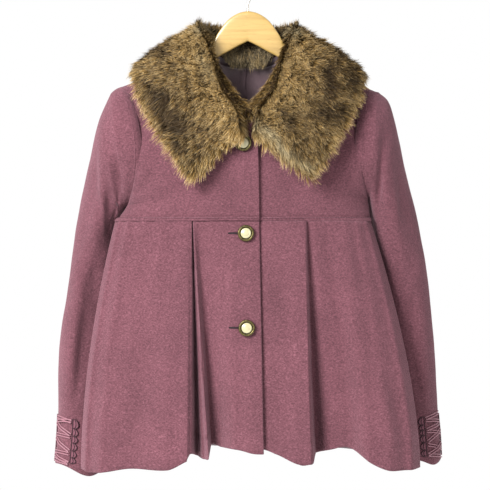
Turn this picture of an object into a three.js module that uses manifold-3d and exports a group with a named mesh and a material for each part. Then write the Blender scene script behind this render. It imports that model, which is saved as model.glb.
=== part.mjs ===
// A short A-line coat with a fur collar, hanging on its wooden hanger.
// Millimetres, +Z up, the front faces -Y, the origin is the inner top of the hook.
import * as THREE from 'three';
import * as BufferGeometryUtils from 'three/addons/utils/BufferGeometryUtils.js';
import Module from 'manifold-3d';

const wasm = await Module();
wasm.setup();

// Driving dimensions
const CLOTH = 2.4;
const LINING = 1.2;
const SEAM_GAP = 0.3;
const WAIST_Z = -387.5;
const WELT_HEIGHT = 4.6;
const WELT_RISE = 1.4;
const WAIST_MID_X = -8;
const WAIST_HALF_WIDTH = 198;
const WAIST_SIDE_Y = -20;
const WAIST_FRONT_Y = -66;
const WAIST_BACK_Y = 62;
const NECK_HALF_WIDTH = 70;
const NECK_POINT_Z = -112;
const BACK_NECK_Z = -140;
const BACK_NECK_Y = 34;
const BUTTON_DIAMETER = 25.6;
const BUTTON_FACE_DIAMETER = 17.8;
const CORD_RADIUS = 1.25;
const HOOK_WIRE_RADIUS = 1.8;
const HOOK_INNER_RADIUS = 19;
const HANGER_THICKNESS = 12;

// Widths and heights were read on the plane y = READ_Y by an eye READ_DISTANCE in front of it.
// A point that lies further back is that much larger about the eye's axis.
const READ_Y = -60;
const READ_DISTANCE = 2500;
const EYE_X = -4.7;
const EYE_Z = -424.7;
const EYE_DROP = -9;

const coat = new THREE.Group();
coat.name = 'short_coat';

const wool = { color: 0x8a5765, roughness: 0.95, metalness: 0 };
const fur = { color: 0x86683f, roughness: 1, metalness: 0 };
const satin = { color: 0x4b3b45, roughness: 0.45, metalness: 0 };
const braid = { color: 0x74465a, roughness: 0.6, metalness: 0 };
const lace = { color: 0x3f2a33, roughness: 0.8, metalness: 0 };
const brass = { color: 0x5f5634, roughness: 0.4, metalness: 0.8 };
const cream = { color: 0xefe9c4, roughness: 0.35, metalness: 0 };
const beech = { color: 0xe2ab52, roughness: 0.4, metalness: 0 };
const steel = { color: 0xa39d94, roughness: 0.3, metalness: 0.9 };

function add(name, geometry, finish) {
  const mesh = new THREE.Mesh(geometry, new THREE.MeshStandardMaterial(finish));
  mesh.name = name;
  coat.add(mesh);
}

const mix = (a, b, t) => a + (b - a) * t;

// A point read at width x and height z, placed at depth y.
function seen(x, y, z) {
  const k = (READ_DISTANCE + y - READ_Y) / READ_DISTANCE;
  return new THREE.Vector3(EYE_X + (x - EYE_X) * k, y, EYE_DROP + EYE_Z + (z - EYE_Z) * k);
}

// Smooth curve through the rows of a table (each row an array of numbers), t from 0 to 1.
function along(rows, t) {
  const last = rows.length - 1;
  const place = Math.min(Math.max(t, 0), 1) * last;
  const i = Math.min(Math.floor(place), last - 1);
  const f = place - i;
  const before = rows[Math.max(i - 1, 0)];
  const after = rows[Math.min(i + 2, last)];
  return rows[i].map((p1, k) => {
    const p2 = rows[i + 1][k];
    const slope1 = (p2 - before[k]) / 2;
    const slope2 = (after[k] - p1) / 2;
    const f2 = f * f;
    const f3 = f2 * f;
    return (2 * f3 - 3 * f2 + 1) * p1 + (f3 - 2 * f2 + f) * slope1
      + (3 * f2 - 2 * f3) * p2 + (f3 - f2) * slope2;
  });
}

// Unit normals of a grid of points. seamAxis(i, j) names the axes that the normal gives up at a seam,
// such as 'y' or 'xy', so that two walls end face to face there.
function gridNormals(grid, around, outward, seamAxis) {
  const rows = grid.length;
  const cols = grid[0].length;
  return grid.map((row, i) => row.map((point, j) => {
    const up = grid[Math.min(i + 1, rows - 1)][j].clone().sub(grid[Math.max(i - 1, 0)][j]);
    const right = around ? row[(j + 1) % cols] : row[Math.min(j + 1, cols - 1)];
    const left = around ? row[(j + cols - 1) % cols] : row[Math.max(j - 1, 0)];
    const normal = right.clone().sub(left).cross(up).multiplyScalar(outward);
    const axes = seamAxis ? seamAxis(i, j) : '';
    [...axes].forEach((axis) => {
      normal[axis] = 0;
    });
    return normal.normalize();
  }));
}

// A cloth wall: the grid's points outside, the same points moved in by thickness(i, j), and a rim.
function wall(grid, { around = false, outward = 1, thickness = () => CLOTH, seamAxis = null } = {}) {
  const rows = grid.length;
  const cols = grid[0].length;
  const normals = gridNormals(grid, around, outward, seamAxis);
  const positions = [];
  grid.forEach((row) => row.forEach((p) => positions.push(p.x, p.y, p.z)));
  grid.forEach((row, i) => row.forEach((p, j) => {
    const q = p.clone().addScaledVector(normals[i][j], -thickness(i, j));
    positions.push(q.x, q.y, q.z);
  }));
  const outer = (i, j) => i * cols + (j % cols);
  const inner = (i, j) => rows * cols + outer(i, j);
  const triangles = [];
  const quad = (a, b, c, d) => {
    const turned = outward > 0 ? [a, b, c, a, c, d] : [a, c, b, a, d, c];
    triangles.push(...turned);
  };
  const lastColumn = around ? cols : cols - 1;
  for (let i = 0; i < rows - 1; i += 1) {
    for (let j = 0; j < lastColumn; j += 1) {
      quad(outer(i, j), outer(i, j + 1), outer(i + 1, j + 1), outer(i + 1, j));
      quad(inner(i, j), inner(i + 1, j), inner(i + 1, j + 1), inner(i, j + 1));
    }
  }
  for (let j = 0; j < lastColumn; j += 1) {
    quad(inner(0, j), inner(0, j + 1), outer(0, j + 1), outer(0, j));
    quad(outer(rows - 1, j), outer(rows - 1, j + 1), inner(rows - 1, j + 1), inner(rows - 1, j));
  }
  if (!around) {
    for (let i = 0; i < rows - 1; i += 1) {
      quad(inner(i, 0), outer(i, 0), outer(i + 1, 0), inner(i + 1, 0));
      quad(outer(i, cols - 1), inner(i, cols - 1), inner(i + 1, cols - 1), outer(i + 1, cols - 1));
    }
  }
  const geometry = new THREE.BufferGeometry();
  geometry.setAttribute('position', new THREE.Float32BufferAttribute(positions, 3));
  geometry.setIndex(triangles);
  return geometry;
}

function toSolid(geometry) {
  const bare = geometry.clone();
  bare.deleteAttribute('normal');
  bare.deleteAttribute('uv');
  const merged = BufferGeometryUtils.mergeVertices(bare, 1e-3);
  return new wasm.Manifold(new wasm.Mesh({
    numProp: 3,
    vertProperties: new Float32Array(merged.attributes.position.array),
    triVerts: new Uint32Array(merged.index.array),
  }));
}

function toGeometry(solid) {
  const mesh = solid.getMesh();
  const geometry = new THREE.BufferGeometry();
  geometry.setAttribute('position', new THREE.Float32BufferAttribute(mesh.vertProperties, 3));
  geometry.setIndex(new THREE.BufferAttribute(new Uint32Array(mesh.triVerts), 1));
  return geometry;
}

// Bodice
// The armhole is a loop: 0 at the shoulder point, a quarter turn at the front, half at the underarm.
const ARMHOLE_DEPTH = 54;
const ARMHOLES = {
  left: { side: -1, topZ: -184.5, lowZ: -364.5, seamX: 174, spreadX: 21, spreadZ: 100, midZ: -285 },
  right: { side: 1, topZ: -189, lowZ: -352, seamX: 176, spreadX: 12, spreadZ: 86, midZ: -275 },
};

function armholePoint(name, turn, clear) {
  const hole = ARMHOLES[name];
  const middle = (hole.topZ + hole.lowZ) / 2;
  const z = middle + (hole.topZ - hole.lowZ) / 2 * Math.cos(turn);
  const x = hole.seamX + hole.spreadX * ((z - hole.midZ) / hole.spreadZ) ** 2 + clear;
  return seen(hole.side * x, -ARMHOLE_DEPTH * Math.sin(turn), z);
}

// The front edge and neckline of a front, from the waist up to the neck point at the shoulder seam.
const FRONT_EDGE = [
  { name: 'waist', x: 17, y: -66.5, z: -387.2 },
  { name: 'over the waist', x: 17, y: -68, z: -366 },
  { name: 'low chest', x: 16.5, y: -70.5, z: -330 },
  { name: 'chest', x: 15.5, y: -71.5, z: -290 },
  { name: 'break of the collar', x: 13, y: -68, z: -250 },
  { name: 'neckline front', x: 2, y: -56, z: -220 },
  { name: 'neckline', x: -38, y: -38, z: -181 },
  { name: 'neckline side', x: -61, y: -19, z: -142 },
  { name: 'neck point', x: -NECK_HALF_WIDTH, y: -0.2, z: NECK_POINT_Z },
];
const UNDER_LAP = { reach: 40, behind: 6.5 };
const SIDE_ROWS = 3;
const FRONT_ROWS = 12;
const FRONT_COLS = 9;
const BACK_HALF_COLS = 9;

// Rows of one front or half back, as fractions of the height: side seam first, then armhole.
function sidePoint(name, i, rows, back) {
  const sign = name === 'left' ? -1 : 1;
  const hole = ARMHOLES[name];
  if (i < SIDE_ROWS) {
    const up = i / SIDE_ROWS;
    const waistX = WAIST_MID_X + sign * WAIST_HALF_WIDTH;
    const under = armholePoint(name, Math.PI, 0);
    const waist = seen(waistX, WAIST_SIDE_Y, WAIST_Z);
    const p = waist.clone().lerp(under, up ** 0.8);
    p.z = mix(waist.z, under.z, up);
    p.y += back ? SEAM_GAP / 2 : -SEAM_GAP / 2;
    return p;
  }
  const turn = Math.PI * (1 - (i - SIDE_ROWS) / (rows - SIDE_ROWS));
  const p = armholePoint(name, back ? -turn : turn, 0);
  if (turn < 1e-6 || turn > Math.PI - 1e-6) {
    p.y += back ? SEAM_GAP / 2 : -SEAM_GAP / 2;
  }
  return p.setX(p.x - hole.side * SEAM_GAP / 2);
}

const fullness = (s, power, root) => Math.max(1 - s ** power, 0) ** root;

function frontGrid(name, overlap) {
  const sign = name === 'left' ? -1 : 1;
  const grid = [];
  const rows = FRONT_EDGE.map((p) => [p.x, p.y, p.z]);
  for (let i = 0; i <= FRONT_ROWS; i += 1) {
    const up = i / FRONT_ROWS;
    const [edgeX, edgeY, edgeZ] = along(rows, up);
    const closed = Math.min(Math.max((-edgeZ - 238) / 40, 0), 1);
    const lapped = Math.min(Math.max((-edgeZ - 178) / 36, 0), 1);
    const neck = (x) => (sign < 0 ? x : -x + 2);
    const edge = overlap
      ? seen(edgeX, edgeY, edgeZ)
      : seen(mix(neck(edgeX), edgeX - UNDER_LAP.reach, closed),
        edgeY + UNDER_LAP.behind * lapped, edgeZ);
    const side = sidePoint(name, i, FRONT_ROWS, false);
    const row = [];
    for (let j = 0; j <= FRONT_COLS; j += 1) {
      const s = 1 - (1 - j / FRONT_COLS) ** 1.7;
      const x = mix(edge.x, side.x, s);
      const y = side.y + (edge.y - side.y) * fullness(s, 3, 0.5);
      const z = mix(edge.z, side.z, s);
      row.push(new THREE.Vector3(x, y, z));
    }
    grid.push(row);
  }
  return grid;
}

function backGrid() {
  const grid = [];
  for (let i = 0; i <= FRONT_ROWS; i += 1) {
    const up = i / FRONT_ROWS;
    const centreZ = mix(WAIST_Z, BACK_NECK_Z, up);
    const depth = up < 0.6 ? mix(WAIST_BACK_Y, 66, up / 0.6) : mix(66, BACK_NECK_Y, ((up - 0.6) / 0.4) ** 1.6);
    const centre = seen(WAIST_MID_X * (1 - up), depth, centreZ);
    const row = [];
    for (let j = -BACK_HALF_COLS; j <= BACK_HALF_COLS; j += 1) {
      const name = j < 0 ? 'left' : 'right';
      const side = sidePoint(name, i, FRONT_ROWS, true);
      const s = 1 - (1 - Math.abs(j) / BACK_HALF_COLS) ** 1.6;
      const neckAt = NECK_HALF_WIDTH / Math.abs(side.x);
      const shoulder = s > neckAt
        ? mix(NECK_POINT_Z, side.z, (s - neckAt) / (1 - neckAt))
        : mix(BACK_NECK_Z, NECK_POINT_Z, (s / neckAt) ** 3);
      const rise = (shoulder - mix(BACK_NECK_Z, side.z, s)) * up ** 4;
      const atSeam = up ** 6;
      const round = mix(fullness(s, 1.8, 0.65), s > neckAt ? 0 : 1 - (s / neckAt) ** 2, atSeam);
      row.push(new THREE.Vector3(
        mix(centre.x, side.x, s),
        side.y + (centre.y - side.y) * round,
        mix(centre.z, side.z, s) + rise,
      ));
    }
    grid.push(row);
  }
  return grid;
}

// The waist seam's welt: two more rows at the foot of a bodice panel, raised along the normal.
function withWelt(grid, outward) {
  const normals = gridNormals(grid, false, outward, (i) => (i === 0 ? 'z' : ''));
  const lift = (row, height, rise) => grid[row].map((p, j) => {
    const q = p.clone().addScaledVector(normals[row][j], rise);
    return q.setZ(p.z + height);
  });
  return [lift(0, SEAM_GAP, WELT_RISE), lift(0, WELT_HEIGHT, WELT_RISE), lift(0, WELT_HEIGHT + 0.8, 0),
    ...grid.slice(1)];
}

const WELT_ROWS = 2;
const lastRow = FRONT_ROWS + WELT_ROWS;
function bodiceSeam(sides) {
  return (i, j) => {
    const waist = i <= WELT_ROWS ? 'z' : '';
    const shoulder = i === lastRow ? 'y' : '';
    if (!sides.includes(j)) {
      return waist + shoulder;
    }
    return waist + shoulder + (i <= SIDE_ROWS + WELT_ROWS ? 'yz' : 'x');
  };
}

const weltThickness = (i) => (i < WELT_ROWS ? CLOTH + WELT_RISE : CLOTH);
const frontLeft = withWelt(frontGrid('left', true), -1);
const frontRight = withWelt(frontGrid('right', false), 1);
const back = withWelt(backGrid(), -1);
add('bodice_front_left', wall(frontLeft, {
  outward: -1, thickness: weltThickness, seamAxis: bodiceSeam([FRONT_COLS]),
}), wool);
add('bodice_front_right', wall(frontRight, {
  outward: 1, thickness: weltThickness, seamAxis: bodiceSeam([FRONT_COLS]),
}), wool);
add('bodice_back', wall(back, {
  outward: -1, thickness: weltThickness, seamAxis: bodiceSeam([0, 2 * BACK_HALF_COLS]),
}), wool);

// Skirt
// Each row is a line from waist to hem: across the waist, how far behind the waist's ring it starts,
// then its place at the hem. ease > 1 flares early. sharp marks a pressed fold; steps is the number
// of columns to the next line.
const SKIRT_ROWS = 8;
const FRONT_LEFT_LINES = [
  { name: 'front edge', waistX: 17, behind: 0, hemX: 24, hemY: -109, hemZ: -749, ease: 1, sharp: 1, steps: 2 },
  { name: 'edge panel', waistX: 4, behind: 0, hemX: 8, hemY: -110, hemZ: -748, ease: 1, sharp: 0, steps: 2 },
  { name: 'centre panel', waistX: -20, behind: 0, hemX: -16, hemY: -103, hemZ: -742, ease: 1, sharp: 0, steps: 2 },
  { name: 'valley right', waistX: -60, behind: 0.5, hemX: -42, hemY: -78, hemZ: -737, ease: 1, sharp: 0, steps: 2 },
  { name: 'valley left', waistX: -77, behind: 1.5, hemX: -57, hemY: -70, hemZ: -733, ease: 1, sharp: 0, steps: 3 },
  { name: 'pleat crest', waistX: -84.4, behind: 0, hemX: -61.5, hemY: -97, hemZ: -756, ease: 0.75, sharp: 1, steps: 2 },
  { name: 'strip', waistX: -85.4, behind: 2, hemX: -75, hemY: -84, hemZ: -756, ease: 0.75, sharp: 0, steps: 1 },
  { name: 'recess', waistX: -86.2, behind: 6, hemX: -84.6, hemY: -60, hemZ: -750, ease: 0.8, sharp: 0, steps: 2 },
  { name: 'roll edge', waistX: -87.4, behind: 0.5, hemX: -89.2, hemY: -92, hemZ: -751, ease: 1, sharp: 0, steps: 2 },
  { name: 'roll', waistX: -93, behind: 0, hemX: -99, hemY: -104, hemZ: -761, ease: 1, sharp: 0, steps: 3 },
  { name: 'side panel', waistX: -126, behind: 0, hemX: -140, hemY: -105, hemZ: -773, ease: 1.1, sharp: 0, steps: 3 },
  { name: 'soft valley', waistX: -158, behind: 1, hemX: -185, hemY: -90, hemZ: -771, ease: 1.3, sharp: 0, steps: 3 },
  { name: 'side fold', waistX: -182, behind: 0, hemX: -226, hemY: -90, hemZ: -777, ease: 1.6, sharp: 0, steps: 3 },
  { name: 'side front', waistX: -198, behind: 0, hemX: -250, hemY: -70, hemZ: -776, ease: 1.8, sharp: 0, steps: 2 },
  { name: 'side seam', waistX: -206, behind: 0, hemX: -259, hemY: -50, hemZ: -771, ease: 1.8, sharp: 1, steps: 0 },
];
const FRONT_RIGHT_LINES = [
  { name: 'hidden edge', waistX: -23, behind: 5.2, hemX: -20, hemY: -90, hemZ: -740, ease: 1, sharp: 1, steps: 2 },
  { name: 'under the lap', waistX: 14, behind: 5.2, hemX: 18, hemY: -99, hemZ: -740, ease: 1, sharp: 0, steps: 2 },
  { name: 'clear of the lap', waistX: 30, behind: 3, hemX: 42, hemY: -101, hemZ: -748, ease: 1, sharp: 0, steps: 3 },
  { name: 'centre panel', waistX: 72, behind: 0, hemX: 80, hemY: -108, hemZ: -765, ease: 1, sharp: 0, steps: 2 },
  { name: 'pleat roll', waistX: 87, behind: 0, hemX: 97, hemY: -108, hemZ: -765, ease: 1, sharp: 0, steps: 1 },
  { name: 'pleat edge', waistX: 90, behind: 0.6, hemX: 101, hemY: -102, hemZ: -763, ease: 0.8, sharp: 1, steps: 3 },
  { name: 'recess', waistX: 91.4, behind: 6, hemX: 105, hemY: -70, hemZ: -746, ease: 0.9, sharp: 0, steps: 2 },
  { name: 'light band', waistX: 104, behind: 2, hemX: 132, hemY: -81, hemZ: -741, ease: 1.05, sharp: 0, steps: 3 },
  { name: 'dark valley', waistX: 124, behind: 2.5, hemX: 156, hemY: -72, hemZ: -738, ease: 1.1, sharp: 0, steps: 3 },
  { name: 'side roll', waistX: 148, behind: 0, hemX: 190, hemY: -101, hemZ: -762, ease: 1.2, sharp: 0, steps: 3 },
  { name: 'side roll crest', waistX: 166, behind: 0, hemX: 218, hemY: -103, hemZ: -774, ease: 1.4, sharp: 0, steps: 3 },
  { name: 'side front', waistX: 181, behind: 0, hemX: 252, hemY: -74, hemZ: -773, ease: 1.5, sharp: 0, steps: 2 },
  { name: 'side seam', waistX: 190, behind: 0, hemX: 267, hemY: -50, hemZ: -769, ease: 1.6, sharp: 1, steps: 0 },
];
const BACK_LINES = [
  { name: 'left seam', waistX: -206, behind: 0, hemX: -259, hemY: -49.7, hemZ: -771, ease: 1.8, sharp: 1, steps: 2 },
  { name: 'left turn', waistX: -196, behind: 0, hemX: -248, hemY: -22, hemZ: -763, ease: 1.7, sharp: 0, steps: 2 },
  { name: 'under the sleeve', waistX: -176, behind: 0, hemX: -222, hemY: 20, hemZ: -752, ease: 1.4, sharp: 0, steps: 3 },
  { name: 'left valley', waistX: -142, behind: 1, hemX: -180, hemY: 62, hemZ: -742, ease: 1.2, sharp: 0, steps: 3 },
  { name: 'left fold', waistX: -108, behind: 0, hemX: -134, hemY: 100, hemZ: -738, ease: 1, sharp: 0, steps: 2 },
  { name: 'left pleat edge', waistX: -84, behind: 0.4, hemX: -102, hemY: 106, hemZ: -736, ease: 1, sharp: 1, steps: 2 },
  { name: 'left recess', waistX: -82.4, behind: 6, hemX: -96, hemY: 76, hemZ: -730, ease: 1, sharp: 0, steps: 2 },
  { name: 'back panel left', waistX: -72, behind: 0.5, hemX: -78, hemY: 92, hemZ: -732, ease: 1, sharp: 0, steps: 3 },
  { name: 'back ridge left', waistX: -38, behind: 0, hemX: -42, hemY: 108, hemZ: -735, ease: 1, sharp: 0, steps: 3 },
  { name: 'back valley', waistX: 4, behind: 1, hemX: 4, hemY: 96, hemZ: -731, ease: 1, sharp: 0, steps: 3 },
  { name: 'back ridge right', waistX: 40, behind: 0, hemX: 48, hemY: 110, hemZ: -735, ease: 1, sharp: 0, steps: 3 },
  { name: 'back panel right', waistX: 68, behind: 0.5, hemX: 80, hemY: 90, hemZ: -732, ease: 1, sharp: 0, steps: 2 },
  { name: 'right recess', waistX: 79.4, behind: 6, hemX: 98, hemY: 74, hemZ: -730, ease: 1, sharp: 0, steps: 2 },
  { name: 'right pleat edge', waistX: 81, behind: 0.4, hemX: 104, hemY: 106, hemZ: -736, ease: 1, sharp: 1, steps: 2 },
  { name: 'right fold', waistX: 104, behind: 0, hemX: 136, hemY: 98, hemZ: -738, ease: 1, sharp: 0, steps: 3 },
  { name: 'right valley', waistX: 130, behind: 1, hemX: 182, hemY: 60, hemZ: -742, ease: 1.2, sharp: 0, steps: 3 },
  { name: 'under the sleeve', waistX: 162, behind: 0, hemX: 228, hemY: 18, hemZ: -752, ease: 1.3, sharp: 0, steps: 2 },
  { name: 'right turn', waistX: 181, behind: 0, hemX: 256, hemY: -24, hemZ: -762, ease: 1.5, sharp: 0, steps: 2 },
  { name: 'right seam', waistX: 190, behind: 0, hemX: 267, hemY: -49.7, hemZ: -769, ease: 1.6, sharp: 1, steps: 0 },
];

// Depth of the waist's ring at width x, in front or behind.
function waistRingY(x, behindBody) {
  const s = Math.min(Math.abs(x - WAIST_MID_X) / WAIST_HALF_WIDTH, 1);
  return behindBody
    ? WAIST_SIDE_Y + SEAM_GAP + (WAIST_BACK_Y - WAIST_SIDE_Y) * fullness(s, 1.8, 0.65)
    : WAIST_SIDE_Y + (WAIST_FRONT_Y - WAIST_SIDE_Y) * fullness(s, 3, 0.5);
}

function skirtLinePoint(line, down, behindBody) {
  const spread = line.ease >= 1 ? 1 - (1 - down) ** line.ease : down ** (1 / line.ease);
  const inwards = behindBody ? -1 : 1;
  const waistY = waistRingY(line.waistX, behindBody) + inwards * line.behind;
  return seen(
    mix(line.waistX, line.hemX, spread),
    mix(waistY, line.hemY, down),
    mix(WAIST_Z - SEAM_GAP, line.hemZ, down),
  );
}

// Between two lines the cloth swells and sinks like a soft wave, but leaves a pressed fold straight.
function skirtGrid(lines, behindBody) {
  const grid = [];
  for (let i = 0; i <= SKIRT_ROWS; i += 1) {
    const down = i / SKIRT_ROWS;
    const row = [];
    lines.forEach((line, n) => {
      const from = skirtLinePoint(line, down, behindBody);
      if (line.steps === 0) {
        row.push(from);
        return;
      }
      const next = lines[n + 1];
      const to = skirtLinePoint(next, down, behindBody);
      for (let k = 0; k < line.steps; k += 1) {
        const s = k / line.steps;
        const wave = (s ** 3 - 2 * s ** 2 + s) * line.sharp + 3 * s ** 2 - 2 * s ** 3
          + (s ** 3 - s ** 2) * next.sharp;
        const p = from.clone().lerp(to, s);
        p.y = mix(from.y, to.y, wave);
        row.push(p);
      }
    });
    grid.push(row);
  }
  return grid;
}

const skirtSeam = (ends) => (i, j) => (i === 0 ? 'z' : '') + (ends.includes(j) ? 'y' : '');
[
  ['skirt_front_left', FRONT_LEFT_LINES, false, 1],
  ['skirt_front_right', FRONT_RIGHT_LINES, false, -1],
  ['skirt_back', BACK_LINES, true, 1],
].forEach(([name, lines, behindBody, outward]) => {
  const grid = skirtGrid(lines, behindBody);
  const last = grid[0].length - 1;
  const ends = behindBody ? [0, last] : [last];
  add(name, wall(grid, { outward, seamAxis: skirtSeam(ends) }), wool);
});

// Sleeves
// Each row is a ring: its outer and inner point as seen from the front, half its depth and its middle.
const SLEEVES = {
  left: [
    { name: 'cap', outerX: -213, outerZ: -195, innerX: -193, innerZ: -367, halfDepth: 55, midY: 1 },
    { name: 'cap low', outerX: -229.5, outerZ: -229, innerX: -199.5, innerZ: -379, halfDepth: 55, midY: 6 },
    { name: 'upper arm', outerX: -241, outerZ: -273, innerX: -206, innerZ: -396, halfDepth: 53, midY: 12 },
    { name: 'biceps', outerX: -252.7, outerZ: -327, innerX: -207.5, innerZ: -430, halfDepth: 50, midY: 19 },
    { name: 'over the elbow', outerX: -266.3, outerZ: -398, innerX: -210, innerZ: -484, halfDepth: 46, midY: 26 },
    { name: 'elbow', outerX: -278.5, outerZ: -485, innerX: -215, innerZ: -550, halfDepth: 44, midY: 31 },
    { name: 'forearm', outerX: -293, outerZ: -588, innerX: -218, innerZ: -628, halfDepth: 43, midY: 36 },
    { name: 'cuff top', outerX: -294, outerZ: -680, innerX: -223, innerZ: -703, halfDepth: 42, midY: 42 },
    { name: 'cuff', outerX: -296, outerZ: -726, innerX: -227, innerZ: -744, halfDepth: 42, midY: 46 },
    { name: 'cuff edge', outerX: -299, outerZ: -762, innerX: -230, innerZ: -774, halfDepth: 41, midY: 48 },
  ],
  right: [
    { name: 'cap', outerX: 202, outerZ: -191, innerX: 188, innerZ: -355, halfDepth: 55, midY: 1 },
    { name: 'cap low', outerX: 221, outerZ: -217, innerX: 190.5, innerZ: -369, halfDepth: 55, midY: 6 },
    { name: 'upper arm', outerX: 234, outerZ: -264, innerX: 192, innerZ: -387, halfDepth: 53, midY: 12 },
    { name: 'biceps', outerX: 246.5, outerZ: -319, innerX: 197, innerZ: -424, halfDepth: 50, midY: 19 },
    { name: 'over the elbow', outerX: 264.3, outerZ: -395, innerX: 205, innerZ: -479, halfDepth: 46, midY: 26 },
    { name: 'elbow', outerX: 279.5, outerZ: -482, innerX: 216.5, innerZ: -545, halfDepth: 44, midY: 31 },
    { name: 'forearm', outerX: 289, outerZ: -590, innerX: 222, innerZ: -622, halfDepth: 43, midY: 36 },
    { name: 'cuff top', outerX: 294, outerZ: -682, innerX: 227, innerZ: -698, halfDepth: 42, midY: 42 },
    { name: 'cuff', outerX: 297, outerZ: -716, innerX: 230, innerZ: -730, halfDepth: 42, midY: 46 },
    { name: 'cuff edge', outerX: 299, outerZ: -753, innerX: 233, innerZ: -760, halfDepth: 41, midY: 48 },
  ],
};
// Soft creases round each sleeve: where round the ring, where down its length, how deep and wide.
const SLEEVE_CREASES = [
  { turn: 1.0, centre: 0.3, length: 0.2, depth: 5, width: 0.35 },
  { turn: 2.1, centre: 0.2, length: 0.16, depth: 7, width: 0.4 },
  { turn: 1.6, centre: 0.55, length: 0.12, depth: 3, width: 0.5 },
  { turn: 4.4, centre: 0.34, length: 0.2, depth: 6, width: 0.4 },
  { turn: 5.3, centre: 0.62, length: 0.14, depth: 3.5, width: 0.4 },
];
const SLEEVE_RINGS = 17;
const SLEEVE_COLS = 22;

function sleevePoint(name, down, turn, clear = 0) {
  const rows = SLEEVES[name].map((r) => [r.outerX, r.outerZ, r.innerX, r.innerZ, r.halfDepth, r.midY]);
  const [outerX, outerZ, innerX, innerZ, halfDepth, midY] = along(rows, down);
  let sink = 0;
  SLEEVE_CREASES.forEach((crease) => {
    const away = Math.atan2(Math.sin(turn - crease.turn), Math.cos(turn - crease.turn));
    sink += crease.depth * Math.exp(-((away / crease.width) ** 2))
      * Math.exp(-(((down - crease.centre) / crease.length) ** 2));
  });
  const halfHeight = Math.hypot(outerX - innerX, outerZ - innerZ) / 2;
  const reach = 1 + (clear - sink) / Math.min(halfHeight, halfDepth);
  const c = Math.cos(turn) * reach;
  const y = midY - halfDepth * Math.sin(turn) * reach;
  return seen(
    mix(innerX, outerX, 0.5 + c / 2),
    y,
    mix(innerZ, outerZ, 0.5 + c / 2),
  );
}

function sleeveGrid(name) {
  const grid = [];
  for (let i = -1; i < SLEEVE_RINGS; i += 1) {
    const row = [];
    for (let j = 0; j < SLEEVE_COLS; j += 1) {
      const turn = j / SLEEVE_COLS * Math.PI * 2;
      row.push(i < 0 ? armholePoint(name, turn, SEAM_GAP)
        : sleevePoint(name, i / (SLEEVE_RINGS - 1), turn));
    }
    grid.push(row);
  }
  return grid;
}

['left', 'right'].forEach((name) => {
  const outward = name === 'left' ? -1 : 1;
  add(`sleeve_${name}`, wall(sleeveGrid(name), {
    around: true, outward, seamAxis: (i) => (i === 0 ? 'x' : ''),
  }), wool);
});

// Fur collar
// Each row is a section from the inside of the neck over the roll to the outer edge.
const COLLAR_SECTIONS = [
  { name: 'centre back', inX: 0, inY: 14, inZ: -154, rollX: 0, rollY: 42, rollZ: -86, edgeX: 0, edgeY: 88, edgeZ: -236, swell: 26 },
  { name: 'back', inX: -28, inY: 11, inZ: -148, rollX: -40, rollY: 38, rollZ: -82, edgeX: -72, edgeY: 86, edgeZ: -228, swell: 26 },
  { name: 'back neck', inX: -46, inY: 10, inZ: -112, rollX: -68, rollY: 26, rollZ: -76, edgeX: -140, edgeY: 64, edgeZ: -204, swell: 26 },
  { name: 'over the arm', inX: -58, inY: 2, inZ: -96, rollX: -76, rollY: 2, rollZ: -74, edgeX: -181, edgeY: 18, edgeZ: -158, swell: 14 },
  { name: 'side front', inX: -54, inY: -16, inZ: -106, rollX: -66, rollY: -24, rollZ: -84, edgeX: -184, edgeY: -34, edgeZ: -156, swell: 20 },
  { name: 'front roll', inX: -42, inY: -24, inZ: -142, rollX: -47, rollY: -40, rollZ: -126, edgeX: -171, edgeY: -66, edgeZ: -198, swell: 22 },
  { name: 'front', inX: -22, inY: -42, inZ: -178, rollX: -34, rollY: -58, rollZ: -172, edgeX: -145, edgeY: -84, edgeZ: -244, swell: 16 },
  { name: 'low front', inX: -5, inY: -62, inZ: -203, rollX: -12, rollY: -79, rollZ: -206, edgeX: -117, edgeY: -94, edgeZ: -290, swell: 10 },
  { name: 'front edge', inX: -3, inY: -73, inZ: -216, rollX: -1, rollY: -91, rollZ: -247, edgeX: -90, edgeY: -96, edgeZ: -325, swell: 4 },
];
const COLLAR_U = 18;
const COLLAR_V = 9;
const FUR_DEPTH = 17;
const FUR_EDGE = 7;
// The right wing's point stands further out than the left one's.
const RIGHT_WING_LEAN = 9;

function collarPoint(side, u, v) {
  const rows = COLLAR_SECTIONS.map((r) => [
    r.inX, r.inY, r.inZ, r.rollX, r.rollY, r.rollZ, r.edgeX, r.edgeY, r.edgeZ, r.swell,
  ]);
  const [inX, inY, inZ, rollX, rollY, rollZ, edgeX, edgeY, edgeZ, swell] = along(rows, u);
  const rollAt = 0.25;
  const round = Math.sin(Math.min(v / rollAt, 1) * Math.PI / 2);
  let x = mix(inX, rollX, round);
  let y = mix(inY, rollY, 1 - Math.cos(Math.min(v / rollAt, 1) * Math.PI / 2));
  let z = mix(inZ, rollZ, round);
  if (v > rollAt) {
    const out = (v - rollAt) / (1 - rollAt);
    const lift = swell * Math.sin(out * Math.PI) ** 0.8;
    const facing = new THREE.Vector3(0.35 * Math.sign(edgeX), Math.sign(rollY) * Math.min(Math.abs(rollY) / 40, 1), 0.5);
    facing.normalize();
    x = mix(rollX, edgeX, out) + facing.x * lift;
    y = mix(rollY, edgeY, out) + facing.y * lift;
    z = mix(rollZ, edgeZ, out) + facing.z * lift;
    if (side > 0) x -= RIGHT_WING_LEAN * u * u * out;
  }
  const p = seen(x, y, z);
  p.x = Math.min(p.x, -SEAM_GAP / 2);
  return side < 0 ? p : p.setX(-p.x);
}

function collarGrid(side) {
  const grid = [];
  for (let i = 0; i <= COLLAR_V; i += 1) {
    const row = [];
    for (let j = 0; j <= COLLAR_U; j += 1) {
      row.push(collarPoint(side, j / COLLAR_U, i / COLLAR_V));
    }
    grid.push(row);
  }
  return grid;
}

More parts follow.
